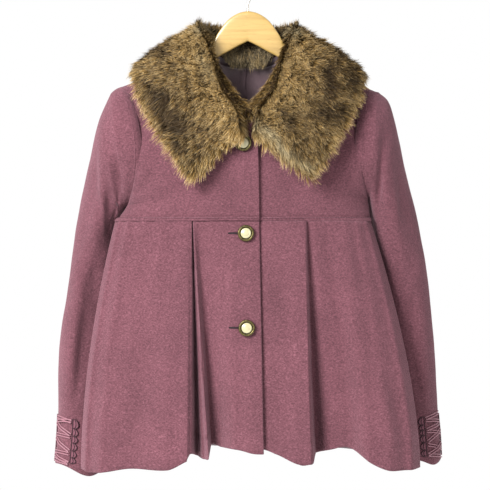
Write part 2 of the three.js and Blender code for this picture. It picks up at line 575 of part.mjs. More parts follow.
['left', 'right'].forEach((name) => {
  const side = name === 'left' ? -1 : 1;
  const rim = (i, j) => Math.min(i / 4, (COLLAR_V - i) / 2, 1) * Math.min((COLLAR_U - j) + 0.6, 1);
  add(`collar_${name}`, wall(collarGrid(side), {
    outward: side,
    thickness: (i, j) => mix(FUR_EDGE, FUR_DEPTH, rim(i, j)),
    seamAxis: (i, j) => (j === 0 || (j >= COLLAR_U - 1 && i <= 4) ? 'x' : ''),
  }), fur);
});

// Lining: the part of the back lining that shows in the neck, a thin sheet inside the bodice back.
const LINING_ROWS = { from: 5, to: lastRow - 1 };
const LINING_COLS = { from: 5, to: 13 };
const LINING_CLEARANCE = 0.8;
const backNormals = gridNormals(back, false, -1, null);
const liningGrid = back.slice(LINING_ROWS.from, LINING_ROWS.to + 1).map((row, i) => row
  .slice(LINING_COLS.from, LINING_COLS.to + 1)
  .map((p, j) => p.clone().addScaledVector(
    backNormals[i + LINING_ROWS.from][j + LINING_COLS.from], -(CLOTH + LINING_CLEARANCE),
  )));
add('lining_back', wall(liningGrid, { outward: -1, thickness: () => LINING }), satin);

// Buttons: a metal cup with a raised rim and a shank, and a domed face that sits in the cup.
const BUTTONS = [
  { number: 1, x: -7, z: -266.6, clothY: -69.4 },
  { number: 2, x: -3.3, z: -406.4, clothY: -68.5 },
  { number: 3, x: -2, z: -553.2, clothY: -85.8 },
];
const BUTTON_SEGMENTS = 14;
const outerRadius = BUTTON_DIAMETER / 2;
const faceRadius = BUTTON_FACE_DIAMETER / 2;
const cupProfile = [
  [0, 0], [3, 0], [3, 2.2], [outerRadius - 2, 2.2], [outerRadius, 4], [outerRadius - 0.4, 6],
  [outerRadius - 1.8, 6.9], [faceRadius + 0.3, 6.2], [faceRadius + 0.3, 4.4], [0, 4.4],
];
const faceProfile = [
  [0, 4.7], [faceRadius, 4.7], [faceRadius, 6.2], [faceRadius - 1.6, 7.1], [faceRadius - 4, 7.5], [0, 7.8],
];
function turned(profile) {
  const points = profile.map(([r, h]) => new THREE.Vector2(r, h));
  return new THREE.LatheGeometry(points, BUTTON_SEGMENTS).rotateX(Math.PI);
}
BUTTONS.forEach((button) => {
  const seat = seen(button.x, button.clothY - SEAM_GAP, button.z);
  const place = (geometry) => geometry.translate(seat.x, seat.y, seat.z);
  add(`button_rim_${button.number}`, place(turned(cupProfile)), brass);
  add(`button_face_${button.number}`, place(turned(faceProfile)), cream);
});

// Laced cuffs: crossed cords between two scalloped strips, on the outer front of each cuff.
const LACING = {
  left: { from: 0.79, to: 0.985, turnA: 0.2, turnB: 1.15, crossings: 3.5 },
  right: { from: 0.785, to: 0.985, turnA: 0.2, turnB: 1.15, crossings: 3.5 },
};
const CORD_SIDES = 4;
const CORD_STEPS = 3;
const TRIM_LIFT = LINING + SEAM_GAP;
function cordTube(points) {
  const curve = new THREE.CatmullRomCurve3(points);
  const section = new THREE.Shape();
  for (let k = 0; k < CORD_SIDES; k += 1) {
    const a = (k + 0.5) / CORD_SIDES * Math.PI * 2;
    const go = k === 0 ? 'moveTo' : 'lineTo';
    section[go](CORD_RADIUS * Math.cos(a), CORD_RADIUS * Math.sin(a));
  }
  return new THREE.ExtrudeGeometry(section, {
    steps: points.length - 1, bevelEnabled: false, extrudePath: curve,
  });
}

const onCuff = (name, down, turn) => sleevePoint(name, down, turn, CORD_RADIUS + SEAM_GAP + 0.5);
function cuffCord(name, a, b) {
  const points = [];
  for (let k = 0; k <= CORD_STEPS; k += 1) {
    const t = k / CORD_STEPS;
    points.push(onCuff(name, mix(a[0], b[0], t), mix(a[1], b[1], t)));
  }
  return toSolid(cordTube(points));
}
['left', 'right'].forEach((name) => {
  const lacing = LACING[name];
  const rungs = 4;
  const stepDown = (lacing.to - lacing.from) / (rungs - 0.5);
  let solid = null;
  const join = (piece) => {
    solid = solid ? solid.add(piece) : piece;
  };
  [lacing.turnA, lacing.turnB].forEach((turn) => {
    join(cuffCord(name, [lacing.from, turn], [lacing.to, turn]));
  });
  for (let k = 0; k < rungs; k += 1) {
    const down = lacing.from + 0.008 + stepDown * k;
    join(cuffCord(name, [down, lacing.turnA], [down, lacing.turnB]));
    if (k < rungs - 1) {
      join(cuffCord(name, [down, lacing.turnA], [down + stepDown, lacing.turnB]));
      join(cuffCord(name, [down, lacing.turnB], [down + stepDown, lacing.turnA]));
    }
  }
  add(`cuff_lacing_${name}`, toGeometry(solid), braid);
  const trims = [
    ['front', lacing.turnB + 0.075, 0.17],
    ['back', lacing.turnA - 0.075, -0.17],
  ];
  trims.forEach(([where, turn, width]) => {
    const scallops = 5;
    const perScallop = 3;
    const grid = [];
    for (let i = 0; i <= scallops * perScallop; i += 1) {
      const down = mix(lacing.from, lacing.to, i / (scallops * perScallop));
      const lobe = 0.72 + 0.28 * Math.abs(Math.sin(i / perScallop * Math.PI));
      grid.push([0, 0.5, 1].map((s) => sleevePoint(name, down, turn + width * lobe * s, TRIM_LIFT)));
    }
    const outward = Math.sign(width) * (name === 'left' ? -1 : 1);
    add(`cuff_trim_${name}_${where}`, wall(grid, { outward, thickness: () => LINING }), lace);
  });
});

// Hanger: a flat bent wooden bar under the shoulders, and a bent wire hook let into its top.
const BAR = [
  { name: 'apex', x: 0, top: -62, low: -109 },
  { name: 'arch', x: 16, top: -66, low: -117 },
  { name: 'arch side', x: 32, top: -77, low: -126 },
  { name: 'arch foot', x: 47, top: -97, low: -134 },
  { name: 'neck', x: 62, top: -120, low: -145 },
  { name: 'arm', x: 100, top: -148, low: -173 },
  { name: 'arm end', x: 164, top: -189, low: -211 },
  { name: 'tip', x: 175, top: -199, low: -210 },
];
const barPoint = (x, z) => {
  const p = seen(x, 0, z);
  return new THREE.Vector2(Math.max(p.x, 0) * Math.sign(x), p.z);
};
const upper = BAR.map((p) => barPoint(p.x, p.top));
const lower = BAR.map((p) => barPoint(p.x, p.low));
const barTop = upper[0].y;
const mirror = (points) => points.map((p) => new THREE.Vector2(-p.x, p.y));
const outline = [
  ...mirror(upper).reverse(), ...upper.slice(1), ...[...lower].reverse(), ...mirror(lower).slice(1),
];
const HANGER_BEVEL = 2;
const bar = new THREE.ExtrudeGeometry(new THREE.Shape(outline), {
  depth: HANGER_THICKNESS - 2 * HANGER_BEVEL,
  bevelThickness: HANGER_BEVEL,
  bevelSize: HANGER_BEVEL,
  bevelOffset: -HANGER_BEVEL,
  bevelSegments: 2,
});
bar.translate(0, 0, -HANGER_THICKNESS / 2 + HANGER_BEVEL).rotateX(Math.PI / 2);
const SHAFT_DEPTH = 24;
const hole = new THREE.CylinderGeometry(
  HOOK_WIRE_RADIUS + SEAM_GAP, HOOK_WIRE_RADIUS + SEAM_GAP, 2 * SHAFT_DEPTH, 12,
).rotateX(Math.PI / 2).translate(0, 0, barTop);
add('hanger_wood', toGeometry(toSolid(bar).subtract(toSolid(hole))), beech);

const centreRadius = HOOK_INNER_RADIUS + HOOK_WIRE_RADIUS;
const loopZ = -HOOK_INNER_RADIUS;
const hookPath = [barTop - SHAFT_DEPTH + SEAM_GAP, barTop, barTop + 12]
  .map((z) => new THREE.Vector3(0, 0, z));
const LOOP_STEPS = 20;
for (let k = 0; k <= LOOP_STEPS; k += 1) {
  const a = mix(-1.25, Math.PI + 0.28, k / LOOP_STEPS);
  hookPath.push(new THREE.Vector3(centreRadius * Math.cos(a), 0, loopZ + centreRadius * Math.sin(a)));
}
const WIRE_SIDES = 8;
const wireSection = new THREE.Shape(Array.from({ length: WIRE_SIDES }, (_, k) => {
  const a = k / WIRE_SIDES * Math.PI * 2;
  return new THREE.Vector2(HOOK_WIRE_RADIUS * Math.cos(a), HOOK_WIRE_RADIUS * Math.sin(a));
}));
add('hanger_hook', new THREE.ExtrudeGeometry(wireSection, {
  steps: 40, bevelEnabled: false, extrudePath: new THREE.CatmullRomCurve3(hookPath),
}), steel);

export default coat;
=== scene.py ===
# A short A-line coat of napped wool with a fur collar, on its bent wooden hanger.
import math

import bpy
import numpy as np
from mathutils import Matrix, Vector


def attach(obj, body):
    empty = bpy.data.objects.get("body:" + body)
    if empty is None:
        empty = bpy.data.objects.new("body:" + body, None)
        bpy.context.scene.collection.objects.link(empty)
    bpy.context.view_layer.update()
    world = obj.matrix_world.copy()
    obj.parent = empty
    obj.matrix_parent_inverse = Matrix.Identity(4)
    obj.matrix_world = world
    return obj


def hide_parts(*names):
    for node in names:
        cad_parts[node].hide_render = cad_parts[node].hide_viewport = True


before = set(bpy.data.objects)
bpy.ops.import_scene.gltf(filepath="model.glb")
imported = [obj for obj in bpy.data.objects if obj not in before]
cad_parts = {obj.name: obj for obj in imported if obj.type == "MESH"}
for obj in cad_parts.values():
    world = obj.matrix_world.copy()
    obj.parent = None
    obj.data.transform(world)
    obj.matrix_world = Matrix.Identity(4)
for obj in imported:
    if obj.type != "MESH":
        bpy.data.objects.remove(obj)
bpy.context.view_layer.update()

# Camera, light and floor
# The coat hangs before a white sweep, seen level from the front by a long lens, in soft light from
# the upper left. The camera stands where the coat's widths and heights were read from, in millimetres.
READ_Y = -60.0
READ_DISTANCE = 2500.0
EYE_X = -4.7
EYE_Z = -424.7
EYE_DROP = -9.0
FRAME_WIDTH = 759.5
SENSOR = 36.0
FLOOR_Z = -1000.0
MM = 0.001


def srgb(text):
    """Linear colour of an sRGB hex value."""
    parts = [int(text[i:i + 2], 16) / 255 for i in (1, 3, 5)]
    return [c / 12.92 if c <= 0.04045 else ((c + 0.055) / 1.055) ** 2.4 for c in parts] + [1.0]


def add_node(tree, kind, settings=None, values=None, links=None):
    """Adds a node, sets its properties and its inputs, and links outputs of other nodes to its inputs."""
    node = tree.nodes.new(kind)
    for key, value in (settings or {}).items():
        setattr(node, key, value)
    for key, value in (values or {}).items():
        node.inputs[key].default_value = value
    for key, (source, output) in (links or {}).items():
        tree.links.new(source.outputs[output], node.inputs[key])
    return node


def new_material(name):
    """An empty node material with its output node."""
    material = bpy.data.materials.new(name)
    material.use_nodes = True
    tree = material.node_tree
    tree.nodes.clear()
    out = add_node(tree, "ShaderNodeOutputMaterial")
    return material, tree, out


def object_place(tree):
    """The output that gives a point's place in its object."""
    return add_node(tree, "ShaderNodeTexCoord"), "Object"


def stretched(tree, vector, scale):
    """A vector output, scaled along each axis."""
    return add_node(tree, "ShaderNodeMapping", values={"Scale": scale}, links={"Vector": vector}), "Vector"


def noise(tree, vector, **values):
    """The factor of a noise texture over a vector output."""
    return add_node(tree, "ShaderNodeTexNoise", values=values, links={"Vector": vector}), "Fac"


def colour_ramp(tree, factor, *stops):
    """The colour of a ramp over a factor; each stop is a position and an sRGB colour."""
    ramp = add_node(tree, "ShaderNodeValToRGB", links={"Fac": factor})
    elements = ramp.color_ramp.elements
    for spot, (position, colour) in zip(elements, (stops[0], stops[-1])):
        spot.position = position
        spot.color = srgb(colour)
    for position, colour in stops[1:-1]:
        elements.new(position).color = srgb(colour)
    return ramp, "Color"


def bump_of(tree, height, strength, distance):
    """The normal that a height gives."""
    values = {"Strength": strength, "Distance": distance}
    return add_node(tree, "ShaderNodeBump", values=values, links={"Height": height}), "Normal"


def principled(tree, out, values, links=None):
    """The material's one shader, joined to its output node."""
    shader = add_node(tree, "ShaderNodeBsdfPrincipled", values=values, links=links)
    tree.links.new(shader.outputs[0], out.inputs["Surface"])


def plain_thread(name, colour, roughness):
    """The material of a plain matt thread."""
    material, tree, out = new_material(name)
    principled(tree, out, {"Base Color": srgb(colour), "Roughness": roughness, "Specular IOR Level": 0.2})
    return material


camera_data = bpy.data.cameras.new("camera")
camera_data.sensor_width = SENSOR
camera_data.lens = SENSOR * READ_DISTANCE / FRAME_WIDTH
camera = bpy.data.objects.new("camera", camera_data)
camera.location = Vector((EYE_X, READ_Y - READ_DISTANCE, EYE_Z + EYE_DROP)) * MM
camera.rotation_euler = (math.pi / 2, 0, 0)
bpy.context.scene.collection.objects.link(camera)
bpy.context.scene.camera = camera
bpy.context.scene.view_settings.view_transform = "Standard"

world = bpy.data.worlds.new("studio")
world.use_nodes = True
world.node_tree.nodes["Background"].inputs["Color"].default_value = (1, 1, 1, 1)
world.node_tree.nodes["Background"].inputs["Strength"].default_value = 1.0
bpy.context.scene.world = world


def soft_light(name, place, aim, size, power):
    """A square area light that looks from place to aim, in metres and watts."""
    data = bpy.data.lights.new(name, "AREA")
    data.shape = "SQUARE"
    data.size = size
    data.energy = power
    lamp = bpy.data.objects.new(name, data)
    lamp.location = place
    lamp.rotation_euler = (Vector(aim) - Vector(place)).to_track_quat("-Z", "Y").to_euler()
    bpy.context.scene.collection.objects.link(lamp)


soft_light("key", (-1.7, -2.3, 0.75), (0, 0, -0.42), 1.3, 330)
soft_light("fill", (2.0, -2.4, 0.1), (0, 0, -0.5), 1.8, 42)

FLOOR_RADIUS = 0.9
FLOOR_SIDES = 96
spokes = [math.tau * k / FLOOR_SIDES for k in range(FLOOR_SIDES)]
floor_mesh = bpy.data.meshes.new("floor")
floor_mesh.from_pydata(
    [(FLOOR_RADIUS * math.cos(a), FLOOR_RADIUS * math.sin(a), FLOOR_Z * MM) for a in spokes],
    [], [tuple(range(FLOOR_SIDES))])
floor = bpy.data.objects.new("floor", floor_mesh)
bpy.context.scene.collection.objects.link(floor)
floor_material, tree, out = new_material("floor_white_paper")
paper = add_node(tree, "ShaderNodeBsdfDiffuse", values={"Color": srgb("#ECECEC")})
tree.links.new(paper.outputs[0], out.inputs["Surface"])
floor_mesh.materials.append(floor_material)

# Hanger
# A flat bar of bent beech, 12 mm thick, varnished to a honey colour, with rounded edges. A bright
# steel wire, 3.6 mm thick, is let into its top and bent into a round hook.


def seen(x, y, z):
    """A point read at width x and height z, placed at depth y: widths grow with distance from the eye."""
    x, y, z = np.broadcast_arrays(np.asarray(x, float), np.asarray(y, float), np.asarray(z, float))
    k = (READ_DISTANCE + y - READ_Y) / READ_DISTANCE
    return np.stack([EYE_X + (x - EYE_X) * k, y, EYE_DROP + EYE_Z + (z - EYE_Z) * k], -1)


def along(rows, t):
    """Smooth curve through the rows of a table at t from 0 to 1: cubic with the slope of its neighbours."""
    rows = np.asarray(rows, float)
    last = len(rows) - 1
    place = np.clip(np.asarray(t, float), 0, 1) * last
    i = np.minimum(place.astype(int), last - 1)
    f = (place - i)[..., None]
    p1, p2 = rows[i], rows[i + 1]
    m1 = (p2 - rows[np.maximum(i - 1, 0)]) / 2
    m2 = (rows[np.minimum(i + 2, last)] - p1) / 2
    return ((2 * f**3 - 3 * f**2 + 1) * p1 + (f**3 - 2 * f**2 + f) * m1
            + (3 * f**2 - 2 * f**3) * p2 + (f**3 - f**2) * m2)


def bell(x, centre, half):
    """1 at the centre, falling off softly on both sides."""
    return np.exp(-(((x - centre) / half) ** 2))


def ramp_up(x, start, width):
    """0 up to the start, then rising evenly to 1 over the width."""
    return np.clip((x - start) / width, 0, 1)


def ramp_down(x, end, width):
    """1 until one width before the end, then falling evenly to 0 there."""
    return np.clip((end - x) / width, 0, 1)


def make_piece(name, points, quads=(), tris=(), slot=None, stands_for=(), crease=None, attributes=None):
    """A mesh object from points in millimetres and rows of corner numbers; it rides on the one body."""
    points = np.asarray(points, float).reshape(-1, 3) * MM
    quads = np.asarray(quads, int).reshape(-1, 4)
    tris = np.asarray(tris, int).reshape(-1, 3)
    corners = np.concatenate([quads.ravel(), tris.ravel()])
    sizes = np.concatenate([np.full(len(quads), 4), np.full(len(tris), 3)])
    mesh = bpy.data.meshes.new(name)
    mesh.vertices.add(len(points))
    mesh.vertices.foreach_set("co", points.ravel())
    mesh.loops.add(len(corners))
    mesh.loops.foreach_set("vertex_index", corners)
    mesh.polygons.add(len(sizes))
    mesh.polygons.foreach_set("loop_start", np.concatenate([[0], np.cumsum(sizes)[:-1]]))
    mesh.polygons.foreach_set("loop_total", sizes)
    mesh.polygons.foreach_set("use_smooth", np.ones(len(sizes), bool))
    for key, values in (attributes or {}).items():
        layer = mesh.attributes.new(key, "FLOAT", "POINT")
        layer.data.foreach_set("value", np.asarray(values, float).ravel())
    mesh.update(calc_edges=True)
    mesh.validate()
    if crease is not None:
        mesh.set_sharp_from_angle(angle=math.radians(crease))
    piece = bpy.data.objects.new(name, mesh)
    bpy.context.scene.collection.objects.link(piece)
    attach(piece, "root")
    if stands_for:
        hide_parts(*stands_for)
    return piece


def grid_quads(rows, cols, around, first=0):
    """Corner numbers of the quads of a grid of points, closed round its columns where around is true."""
    i, j = np.meshgrid(np.arange(rows - 1), np.arange(cols if around else cols - 1), indexing="ij")
    k = (j + 1) % cols
    corners = np.stack([i * cols + j, i * cols + k, (i + 1) * cols + k, (i + 1) * cols + j], -1)
    return corners.reshape(-1, 4) + first


def grid_normals(grid, around, outward):
    """Unit normals of a grid: across times down, by differences of neighbouring points."""
    down = np.gradient(grid, axis=0)
    if around:
        across = (np.roll(grid, -1, axis=1) - np.roll(grid, 1, axis=1)) / 2
    else:
        across = np.gradient(grid, axis=1)
    normal = np.cross(across, down) * outward
    return normal / np.maximum(np.linalg.norm(normal, axis=-1, keepdims=True), 1e-9)


def end_caps(sides, rings):
    """Fans that close both ends of a row of rings; their two middle points follow the rings' own."""
    j = np.arange(sides)
    k = (j + 1) % sides
    count = rings * sides
    last = count - sides
    head = np.stack([np.full(sides, count), k, j], -1)
    tail = np.stack([np.full(sides, count + 1), last + j, last + k], -1)
    return np.concatenate([head, tail])


# A direction that no tube here runs along, and how far a tube's ends stand out.
ASLANT = (0.31, 1.0, 0.17)
END_BULGE = 0.3


def tube_mesh(path, radius, sides):
    """A round tube along a path of points: rings turned with the path, ends closed by a point each."""
    path = np.asarray(path, float)
    tangent = np.gradient(path, axis=0)
    tangent /= np.linalg.norm(tangent, axis=1, keepdims=True)
    side = np.cross(tangent, ASLANT)
    side /= np.linalg.norm(side, axis=1, keepdims=True)
    other = np.cross(tangent, side)
    angle = np.arange(sides) / sides * 2 * math.pi
    radius = np.broadcast_to(radius, len(path))[:, None, None]
    ring = np.cos(angle)[None, :, None] * side[:, None] + np.sin(angle)[None, :, None] * other[:, None]
    points = (path[:, None] + ring * radius).reshape(-1, 3)
    ends = np.array([path[0] - tangent[0] * END_BULGE, path[-1] + tangent[-1] * END_BULGE])
    return np.concatenate([points, ends]), grid_quads(len(path), sides, True), end_caps(sides, len(path))


def join_meshes(parts):
    """One set of points, quads and triangles from several."""
    points, quads, tris, count = [], [], [], 0
    for part in parts:
        points.append(part[0])
        quads.append(np.asarray(part[1], int).reshape(-1, 4) + count)
        tris.append(np.asarray(part[2], int).reshape(-1, 3) + count)
        count += len(part[0])
    return np.concatenate(points), np.concatenate(quads), np.concatenate(tris)


# Half of the bar: x, and the heights of its top and its foot.
BAR = [
    (0, -62, -109), (16, -66, -117), (32, -77, -126), (47, -97, -134),
    (62, -120, -145), (100, -148, -173), (164, -189, -211), (175, -199, -210),
]
BAR_THICK = 12.0
# How square the bar's section is, where 1 is round, and how far its tips are drawn in.
BAR_SQUARENESS = 0.42
BAR_TIP = 0.55


def hanger_bar():
    """Rings of a rounded rectangle carried from tip to tip: x and the ring's top and foot from the table."""
    t = np.linspace(0, 1, 90)
    half = along(BAR, t)
    rows = np.concatenate([half[:0:-1] * [-1, 1, 1], half])
    top = seen(rows[:, 0], 0, rows[:, 1])
    low = seen(rows[:, 0], 0, rows[:, 2])
    middle = (top + low) / 2
    angle = np.linspace(0, 2 * math.pi, 24, endpoint=False)
    c = np.sign(np.cos(angle)) * np.abs(np.cos(angle)) ** BAR_SQUARENESS
    s = np.sign(np.sin(angle)) * np.abs(np.sin(angle)) ** BAR_SQUARENESS
    end = np.ones(len(rows))
    end[[0, -1]] = BAR_TIP
    up = (top - low)[:, None] / 2 * c[None, :, None] * end[:, None, None]
    deep = np.array([0, BAR_THICK / 2, 0]) * s[None, :, None] * end[:, None, None]
    points = (middle[:, None] + up + deep).reshape(-1, 3)
    quads = grid_quads(len(rows), len(angle), True)
    return np.concatenate([points, [middle[0], middle[-1]]]), quads, end_caps(len(angle), len(rows))

bar = make_piece("hanger_bar", *hanger_bar(), slot="hanger_wood", stands_for=["hanger_wood"], crease=60)
# Beech: pale honey wood with fine dark flecks along the grain, under a clear glossy varnish.
material, tree, out = new_material("varnished_beech")
place = object_place(tree)
grain = noise(tree, stretched(tree, place, (9, 90, 160)), Scale=1.0, Detail=5.0, Distortion=0.6)
fleck = noise(tree, stretched(tree, place, (90, 700, 900)), Scale=1.0, Detail=2.0)
tone = colour_ramp(tree, grain, (0.3, "#7C6330"), (0.7, "#917742"))
dark = add_node(tree, "ShaderNodeMapRange", values={"From Min": 0.6, "From Max": 0.75, "To Max": 0.35},
                links={"Value": fleck})
wood_colour = add_node(tree, "ShaderNodeMixRGB", {"blend_type": "MULTIPLY"}, {"Color2": srgb("#A87834")},
                       {"Fac": (dark, "Result"), "Color1": tone})
principled(tree, out, {"Roughness": 0.38, "Coat Weight": 0.45, "Coat Roughness": 0.18},
           {"Base Color": (wood_colour, "Color"), "Normal": bump_of(tree, fleck, 0.15, 0.0003)})
bar.data.materials.append(material)

HOOK_RADIUS = 20.8
WIRE_RADIUS = 1.8
bar_top = seen(0, 0, -62)[2]
turn = np.linspace(-1.25, math.pi + 0.28, 60)
shaft = np.stack([np.zeros(14), np.zeros(14), np.linspace(bar_top - 20, bar_top + 12, 14)], -1)
loop = np.stack([HOOK_RADIUS * np.cos(turn), 0 * turn, -19 + HOOK_RADIUS * np.sin(turn)], -1)
knots = np.concatenate([shaft[[0, 7, 13]], loop[::3]])
hook_path = along(knots, np.linspace(0, 1, 150))
hook = make_piece("hanger_wire", *tube_mesh(hook_path, WIRE_RADIUS, 16), slot="hanger_wire",
                  stands_for=["hanger_hook"])
# Bright drawn steel wire with a thin nickel plate: grey and glossy, with faint drawing marks.
material, tree, out = new_material("nickelled_steel_wire")
marks = noise(tree, object_place(tree), Scale=900.0, Detail=2.0)
rough = add_node(tree, "ShaderNodeMapRange", values={"To Min": 0.22, "To Max": 0.4}, links={"Value": marks})
principled(tree, out, {"Base Color": srgb("#A9A39A"), "Metallic": 1.0}, {"Roughness": (rough, "Result")})
hook.data.materials.append(material)

# Bodice
# Two fronts, lapped left over right, and a back, cut from heavy napped wool 2.4 mm thick. Their lower
# edge is turned up into a narrow welt over the waist seam, held by a line of stitches.
CLOTH = 2.4
SEAM_GAP = 0.3
WAIST_Z = -387.5
WELT_HEIGHT = 4.6
WELT_RISE = 1.7
WAIST_MID_X = -8.0
WAIST_HALF_WIDTH = 198.0
WAIST_SIDE_Y = -20.0
WAIST_FRONT_Y = -66.0
WAIST_BACK_Y = 62.0
NECK_HALF_WIDTH = 70.0
NECK_POINT_Z = -112.0
BACK_NECK_Z = -140.0
BACK_NECK_Y = 34.0
ARMHOLE_DEPTH = 54.0
ARMHOLES = {
    -1: {"top": -184.5, "low": -364.5, "seam": 174.0, "spread": 21.0, "spread_z": 100.0, "mid": -285.0},
    1: {"top": -189.0, "low": -352.0, "seam": 176.0, "spread": 12.0, "spread_z": 86.0, "mid": -275.0},
}
# The front edge up from the waist and the neckline up to the shoulder: x, y and z.
FRONT_EDGE = [
    (17, -66.5, -387.2), (17, -68, -366), (16.5, -70.5, -330), (15.5, -71.5, -290), (13, -68, -250),
    (2, -56, -220), (-38, -38, -181), (-61, -19, -142), (-NECK_HALF_WIDTH, -0.2, NECK_POINT_Z),
]
# The share of a panel's outer edge that is side seam.
SIDE_SHARE = 0.25
# How far the right front reaches under the left one and lies behind it, and how deep below the origin it
# starts to lie behind and to be shut, each with the height over which it gets there.
LAP_REACH = 40.0
LAP_BEHIND = 6.5
LAPPED_FROM = (178, 36)
SHUT_FROM = (238, 40)
FRONT_COLUMNS = 70
# Where the back is fullest: share of its height, and depth.
BACK_FULL_AT = 0.6
BACK_FULL_Y = 66.0


def armhole(side, turn, clear=0.0):
    """The armhole's loop: 0 at the shoulder, a quarter turn at the front, half a turn at the underarm."""
    hole = ARMHOLES[side]
    turn = np.asarray(turn, float)
    z = (hole["top"] + hole["low"]) / 2 + (hole["top"] - hole["low"]) / 2 * np.cos(turn)
    x = hole["seam"] + hole["spread"] * ((z - hole["mid"]) / hole["spread_z"]) ** 2 + clear
    return seen(side * x, -ARMHOLE_DEPTH * np.sin(turn), z)


def side_line(side, up, back):
    """A panel's outer edge from the waist up: the side seam, then the front or back of the armhole."""
    seam = np.clip(up / SIDE_SHARE, 0, 1)
    waist = seen(WAIST_MID_X + side * WAIST_HALF_WIDTH, WAIST_SIDE_Y, WAIST_Z)
    under = armhole(side, math.pi)
    low = waist + (under - waist) * (seam ** 0.8)[:, None]
    low[:, 2] = waist[2] + (under[2] - waist[2]) * seam
    turn = math.pi * (1 - np.clip((up - SIDE_SHARE) / (1 - SIDE_SHARE), 0, 1))
    high = armhole(side, -turn if back else turn)
    high[:, 0] -= side * SEAM_GAP / 2
    edge = np.where((up < SIDE_SHARE)[:, None], low, high)
    edge[:, 1] += (SEAM_GAP / 2 if back else -SEAM_GAP / 2) * (np.abs(np.sin(turn)) < 1e-6)
    return edge


def fullness(s, power, root):
    """How far a panel stands out at share s of its half width: full in the middle, none at the edge."""
    return np.maximum(1 - s ** power, 0) ** root


PANEL_ROWS = np.concatenate([np.linspace(0, 0.06, 14), np.linspace(0.06, 1, 68)[1:]])


def front_panel(side, laps):
    """Rows up from the waist, each from the front edge or neckline out to the side seam or armhole."""
    edge = along(FRONT_EDGE, PANEL_ROWS)
    shut = ramp_up(-edge[:, 2], *SHUT_FROM)
    lapped = ramp_up(-edge[:, 2], *LAPPED_FROM)
    if laps:
        inner = seen(edge[:, 0], edge[:, 1], edge[:, 2])
    else:
        mirrored = -edge[:, 0] + 2
        x = mirrored + (edge[:, 0] - LAP_REACH - mirrored) * shut
        inner = seen(x, edge[:, 1] + LAP_BEHIND * lapped, edge[:, 2])
    outer = side_line(side, PANEL_ROWS, False)
    s = (1 - (1 - np.linspace(0, 1, FRONT_COLUMNS)) ** 1.7)[None, :]
    x = inner[:, :1] + (outer[:, :1] - inner[:, :1]) * s
    y = outer[:, 1:2] + (inner[:, 1:2] - outer[:, 1:2]) * fullness(s, 3, 0.5)
    z = inner[:, 2:] + (outer[:, 2:] - inner[:, 2:]) * s
    return np.stack([x, y, z], -1)


def back_panel(up, out_share):
    """Rows up from the waist to the shoulder seams and the back neck, from one side to the other."""
    low = WAIST_BACK_Y + (BACK_FULL_Y - WAIST_BACK_Y) * up / BACK_FULL_AT
    past = np.maximum(up - BACK_FULL_AT, 0) / (1 - BACK_FULL_AT)
    high = BACK_FULL_Y + (BACK_NECK_Y - BACK_FULL_Y) * past ** 1.6
    depth = np.where(up < BACK_FULL_AT, low, high)
    centre = seen(WAIST_MID_X * (1 - up), depth, WAIST_Z + (BACK_NECK_Z - WAIST_Z) * up)
    halves = []
    for side in (-1, 1):
        edge = side_line(side, up, True)
        s = (1 - (1 - out_share) ** 1.6)[None, :]
        neck = NECK_HALF_WIDTH / np.abs(edge[:, :1])
        on_shoulder = s > neck
        over_shoulder = NECK_POINT_Z + (edge[:, 2:] - NECK_POINT_Z) * (s - neck) / (1 - neck)
        over_neck = BACK_NECK_Z + (NECK_POINT_Z - BACK_NECK_Z) * (s / neck) ** 3
        shoulder = np.where(on_shoulder, over_shoulder, over_neck)
        rise = (shoulder - (BACK_NECK_Z + (edge[:, 2:] - BACK_NECK_Z) * s)) * up[:, None] ** 4
        at_seam = up[:, None] ** 6
        round_top = np.where(on_shoulder, 0, 1 - (s / neck) ** 2)
        swell = fullness(s, 1.8, 0.65) * (1 - at_seam) + round_top * at_seam
        x = centre[:, :1] + (edge[:, :1] - centre[:, :1]) * s
        y = edge[:, 1:2] + (centre[:, 1:2] - edge[:, 1:2]) * swell
        z = centre[:, 2:] + (edge[:, 2:] - centre[:, 2:]) * s + rise
        halves.append(np.stack([x, y, z], -1))
    return np.concatenate([halves[0][:, :0:-1], halves[1]], axis=1)


def crease_depth(x, z, creases):
    """How far cloth sinks at width x and height z: each crease is a soft bent trough, or a ridge below 0."""
    sink = np.zeros_like(x)
    for crease_x, crease_z, length, lean, depth, width, bend in creases:
        a = math.radians(lean)
        run = (x - crease_x) * math.sin(a) + (z - crease_z) * math.cos(a)
        away = (x - crease_x) * math.cos(a) - (z - crease_z) * math.sin(a) - bend * (run / length) ** 2
        grow = np.maximum(width * (1 + 0.5 * run / length), width * 0.3)
        sink += depth * bell(away, 0, grow) * np.exp(-((run / length) ** 4))
    return sink


def soft_unevenness(x, z, size, seed):
    """Small waves of heavy cloth, from a few sines of unlike length and direction; about 1 at most."""
    total = 0
    for k, (across, upward) in enumerate(((1.0, 0.35), (-0.55, 0.8), (0.3, -1.25), (1.7, 0.9))):
        total = total + np.sin((x * across + z * upward) / size + seed * 1.7 + k * 2.1) / (1.6 + k * 0.5)
    return total / 1.6


# How far a rim stands out, as a share of the wall.
RIM_ROUND = 0.3


